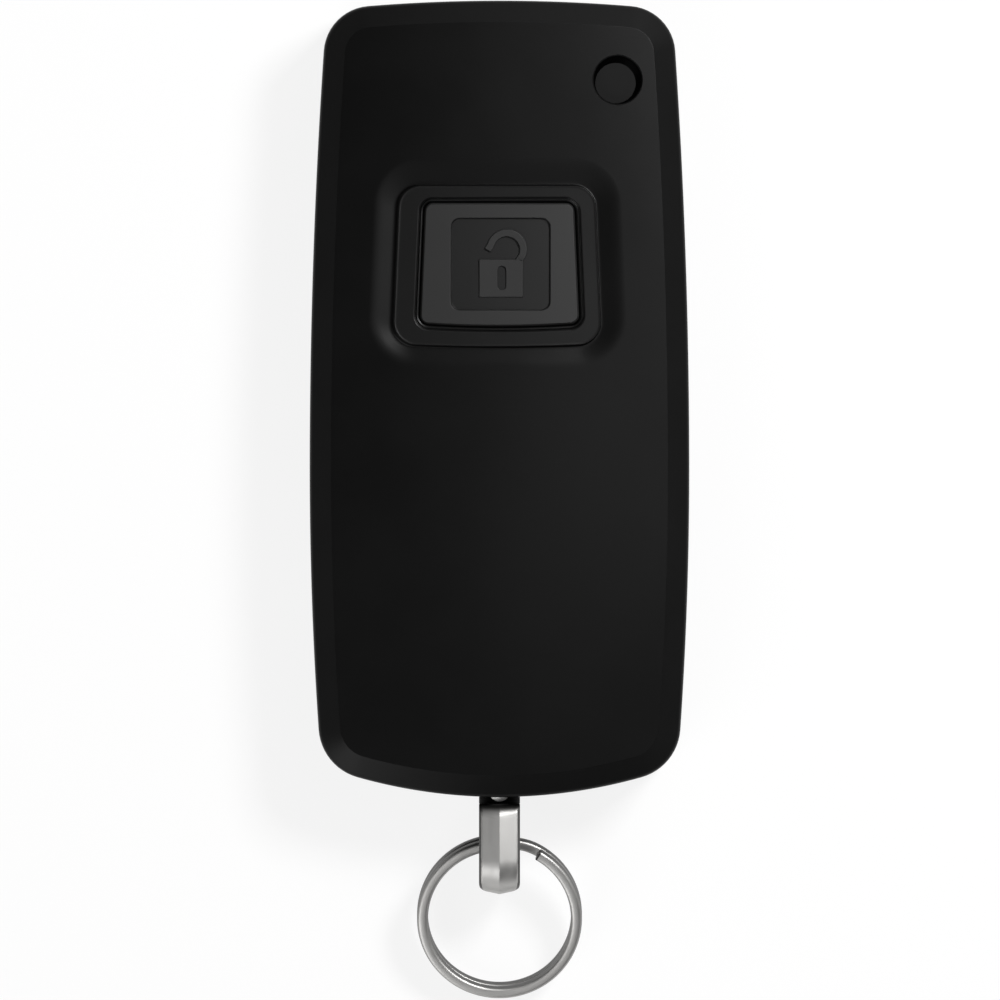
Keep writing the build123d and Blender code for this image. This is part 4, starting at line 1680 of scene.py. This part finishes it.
def floor_material(colour):
    """Matt painted board: white, with part of its light its own where it is looked at."""
    material = bpy.data.materials.new("matt_white_board")
    material.use_nodes = True
    tree = material.node_tree
    shader = tree.nodes["Principled BSDF"]
    shader.inputs["Base Color"].default_value = (*colour, 1)
    shader.inputs["Roughness"].default_value = 0.9
    shader.inputs["Specular IOR Level"].default_value = 0.0
    camera, mirror = seen_directly(tree)
    seen = add_node(
        tree, "ShaderNodeMath", {"operation": "MAXIMUM"}, {0: camera, 1: mirror}
    ).outputs["Value"]
    share = add_node(
        tree, "ShaderNodeMath", {"operation": "MULTIPLY", 1: floor_glow}, {0: seen}
    ).outputs["Value"]
    glow = add_node(tree, "ShaderNodeEmission", {"Color": (1, 1, 1, 1), "Strength": 1.0})
    mix = add_node(
        tree,
        "ShaderNodeMixShader",
        {},
        {0: share, 1: shader.outputs["BSDF"], 2: glow.outputs["Emission"]},
    )
    tree.links.new(mix.outputs["Shader"], tree.nodes["Material Output"].inputs["Surface"])
    return material


def lamp(name, power, size, tilt, bearing, distance):
    """A square soft lamp that looks at the remote: tilt from straight above, bearing from +X."""
    data = bpy.data.lights.new(name, "AREA")
    data.shape = "SQUARE"
    data.size = size
    data.energy = power
    piece = bpy.data.objects.new(name, data)
    lean, turn = math.radians(tilt), math.radians(bearing)
    piece.location = (
        distance * math.sin(lean) * math.cos(turn),
        distance * math.sin(lean) * math.sin(turn) + lamp_aim_y,
        distance * math.cos(lean),
    )
    piece.rotation_euler = (0, lean, turn)
    bpy.context.scene.collection.objects.link(piece)


def pale_sky(scene):
    """White where it is looked at, and in mirrors white at the horizon and dim overhead.

    The photograph's studio was dark above the camera, or the black plastic would mirror a white
    ceiling.
    """
    world = bpy.data.worlds.new("pale_sky")
    world.use_nodes = True
    tree = world.node_tree
    back = tree.nodes["Background"]
    camera, mirror = seen_directly(tree)
    way = add_node(tree, "ShaderNodeTexCoord").outputs["Object"]
    height = add_node(tree, "ShaderNodeSeparateXYZ", {}, {"Vector": way}).outputs["Z"]
    fall = add_node(
        tree,
        "ShaderNodeMapRange",
        {
            "interpolation_type": "SMOOTHSTEP",
            "From Min": sky_white_to,
            "From Max": sky_dim_from,
            "To Min": 1.0,
            "To Max": sky_overhead,
        },
        {"Value": height},
    ).outputs["Result"]
    mirrored_light = add_node(
        tree, "ShaderNodeMath", {"operation": "MULTIPLY"}, {0: mirror, 1: fall}
    ).outputs["Value"]
    dim = add_node(
        tree, "ShaderNodeMath", {"operation": "MAXIMUM", 1: sky_least}, {0: mirrored_light}
    ).outputs["Value"]
    strength = add_node(
        tree, "ShaderNodeMath", {"operation": "MAXIMUM"}, {0: camera, 1: dim}
    ).outputs["Value"]
    back.inputs["Color"].default_value = (1, 1, 1, 1)
    tree.links.new(strength, back.inputs["Strength"])
    scene.world = world


def photo_camera(scene):
    """A long lens straight above the front face, framed as the photograph is.

    Its length is the sensor's width times the height over the face, by the width that is seen.
    """
    data = bpy.data.cameras.new("photo_camera")
    camera = bpy.data.objects.new("photo_camera", data)
    middle = photo_pixels / 2
    camera.location = (
        (middle - origin_pixel_x) * photo_scale * MM,
        (origin_pixel_y - middle) * photo_scale * MM,
        camera_height,
    )
    seen = photo_pixels * photo_scale * MM
    data.lens = data.sensor_width * (camera_height - crown_top * MM) / seen
    data.clip_start = nearest_seen
    data.clip_end = farthest_seen
    scene.collection.objects.link(camera)
    scene.camera = camera


class VIEW3D_PT_remote(bpy.types.Panel):
    """A button for each operator, and a box for each group of settings"""

    bl_label = "Door Lock Remote"
    bl_idname = "VIEW3D_PT_remote"
    bl_space_type = "VIEW_3D"
    bl_region_type = "UI"
    bl_category = "Remote"

    def draw(self, context):
        layout = self.layout
        for operator in operators:
            layout.operator(operator.bl_idname)
        for group in settings_groups:
            settings = getattr(context.scene, group)
            box = layout.box()
            for name in settings.__annotations__:
                box.prop(settings, name)


operators = (
    REMOTE_OT_front_shell,
    REMOTE_OT_lamp_window,
    REMOTE_OT_flexing_parts,
    REMOTE_OT_button,
    REMOTE_OT_key_loop,
    REMOTE_OT_split_ring,
    REMOTE_OT_finishes,
    REMOTE_OT_stage,
)
settings_groups = {
    "remote_shell": RemoteShellSettings,
    "remote_button": RemoteButtonSettings,
    "remote_metal": RemoteMetalSettings,
    "remote_stage": RemoteStageSettings,
}


def register():
    for name, group in settings_groups.items():
        bpy.utils.register_class(group)
        setattr(bpy.types.Scene, name, bpy.props.PointerProperty(type=group))
    for kind in (*operators, VIEW3D_PT_remote):
        bpy.utils.register_class(kind)


def unregister():
    for kind in (VIEW3D_PT_remote, *reversed(operators)):
        bpy.utils.unregister_class(kind)
    for name, group in settings_groups.items():
        delattr(bpy.types.Scene, name)
        bpy.utils.unregister_class(group)


def main():
    register()
    bpy.ops.remote.front_shell()
    bpy.ops.remote.lamp_window()
    bpy.ops.remote.flexing_parts()
    bpy.ops.remote.button()
    bpy.ops.remote.key_loop()
    bpy.ops.remote.split_ring()
    bpy.ops.remote.finishes()
    bpy.ops.remote.stage()


if __name__ == "__main__":
    main()
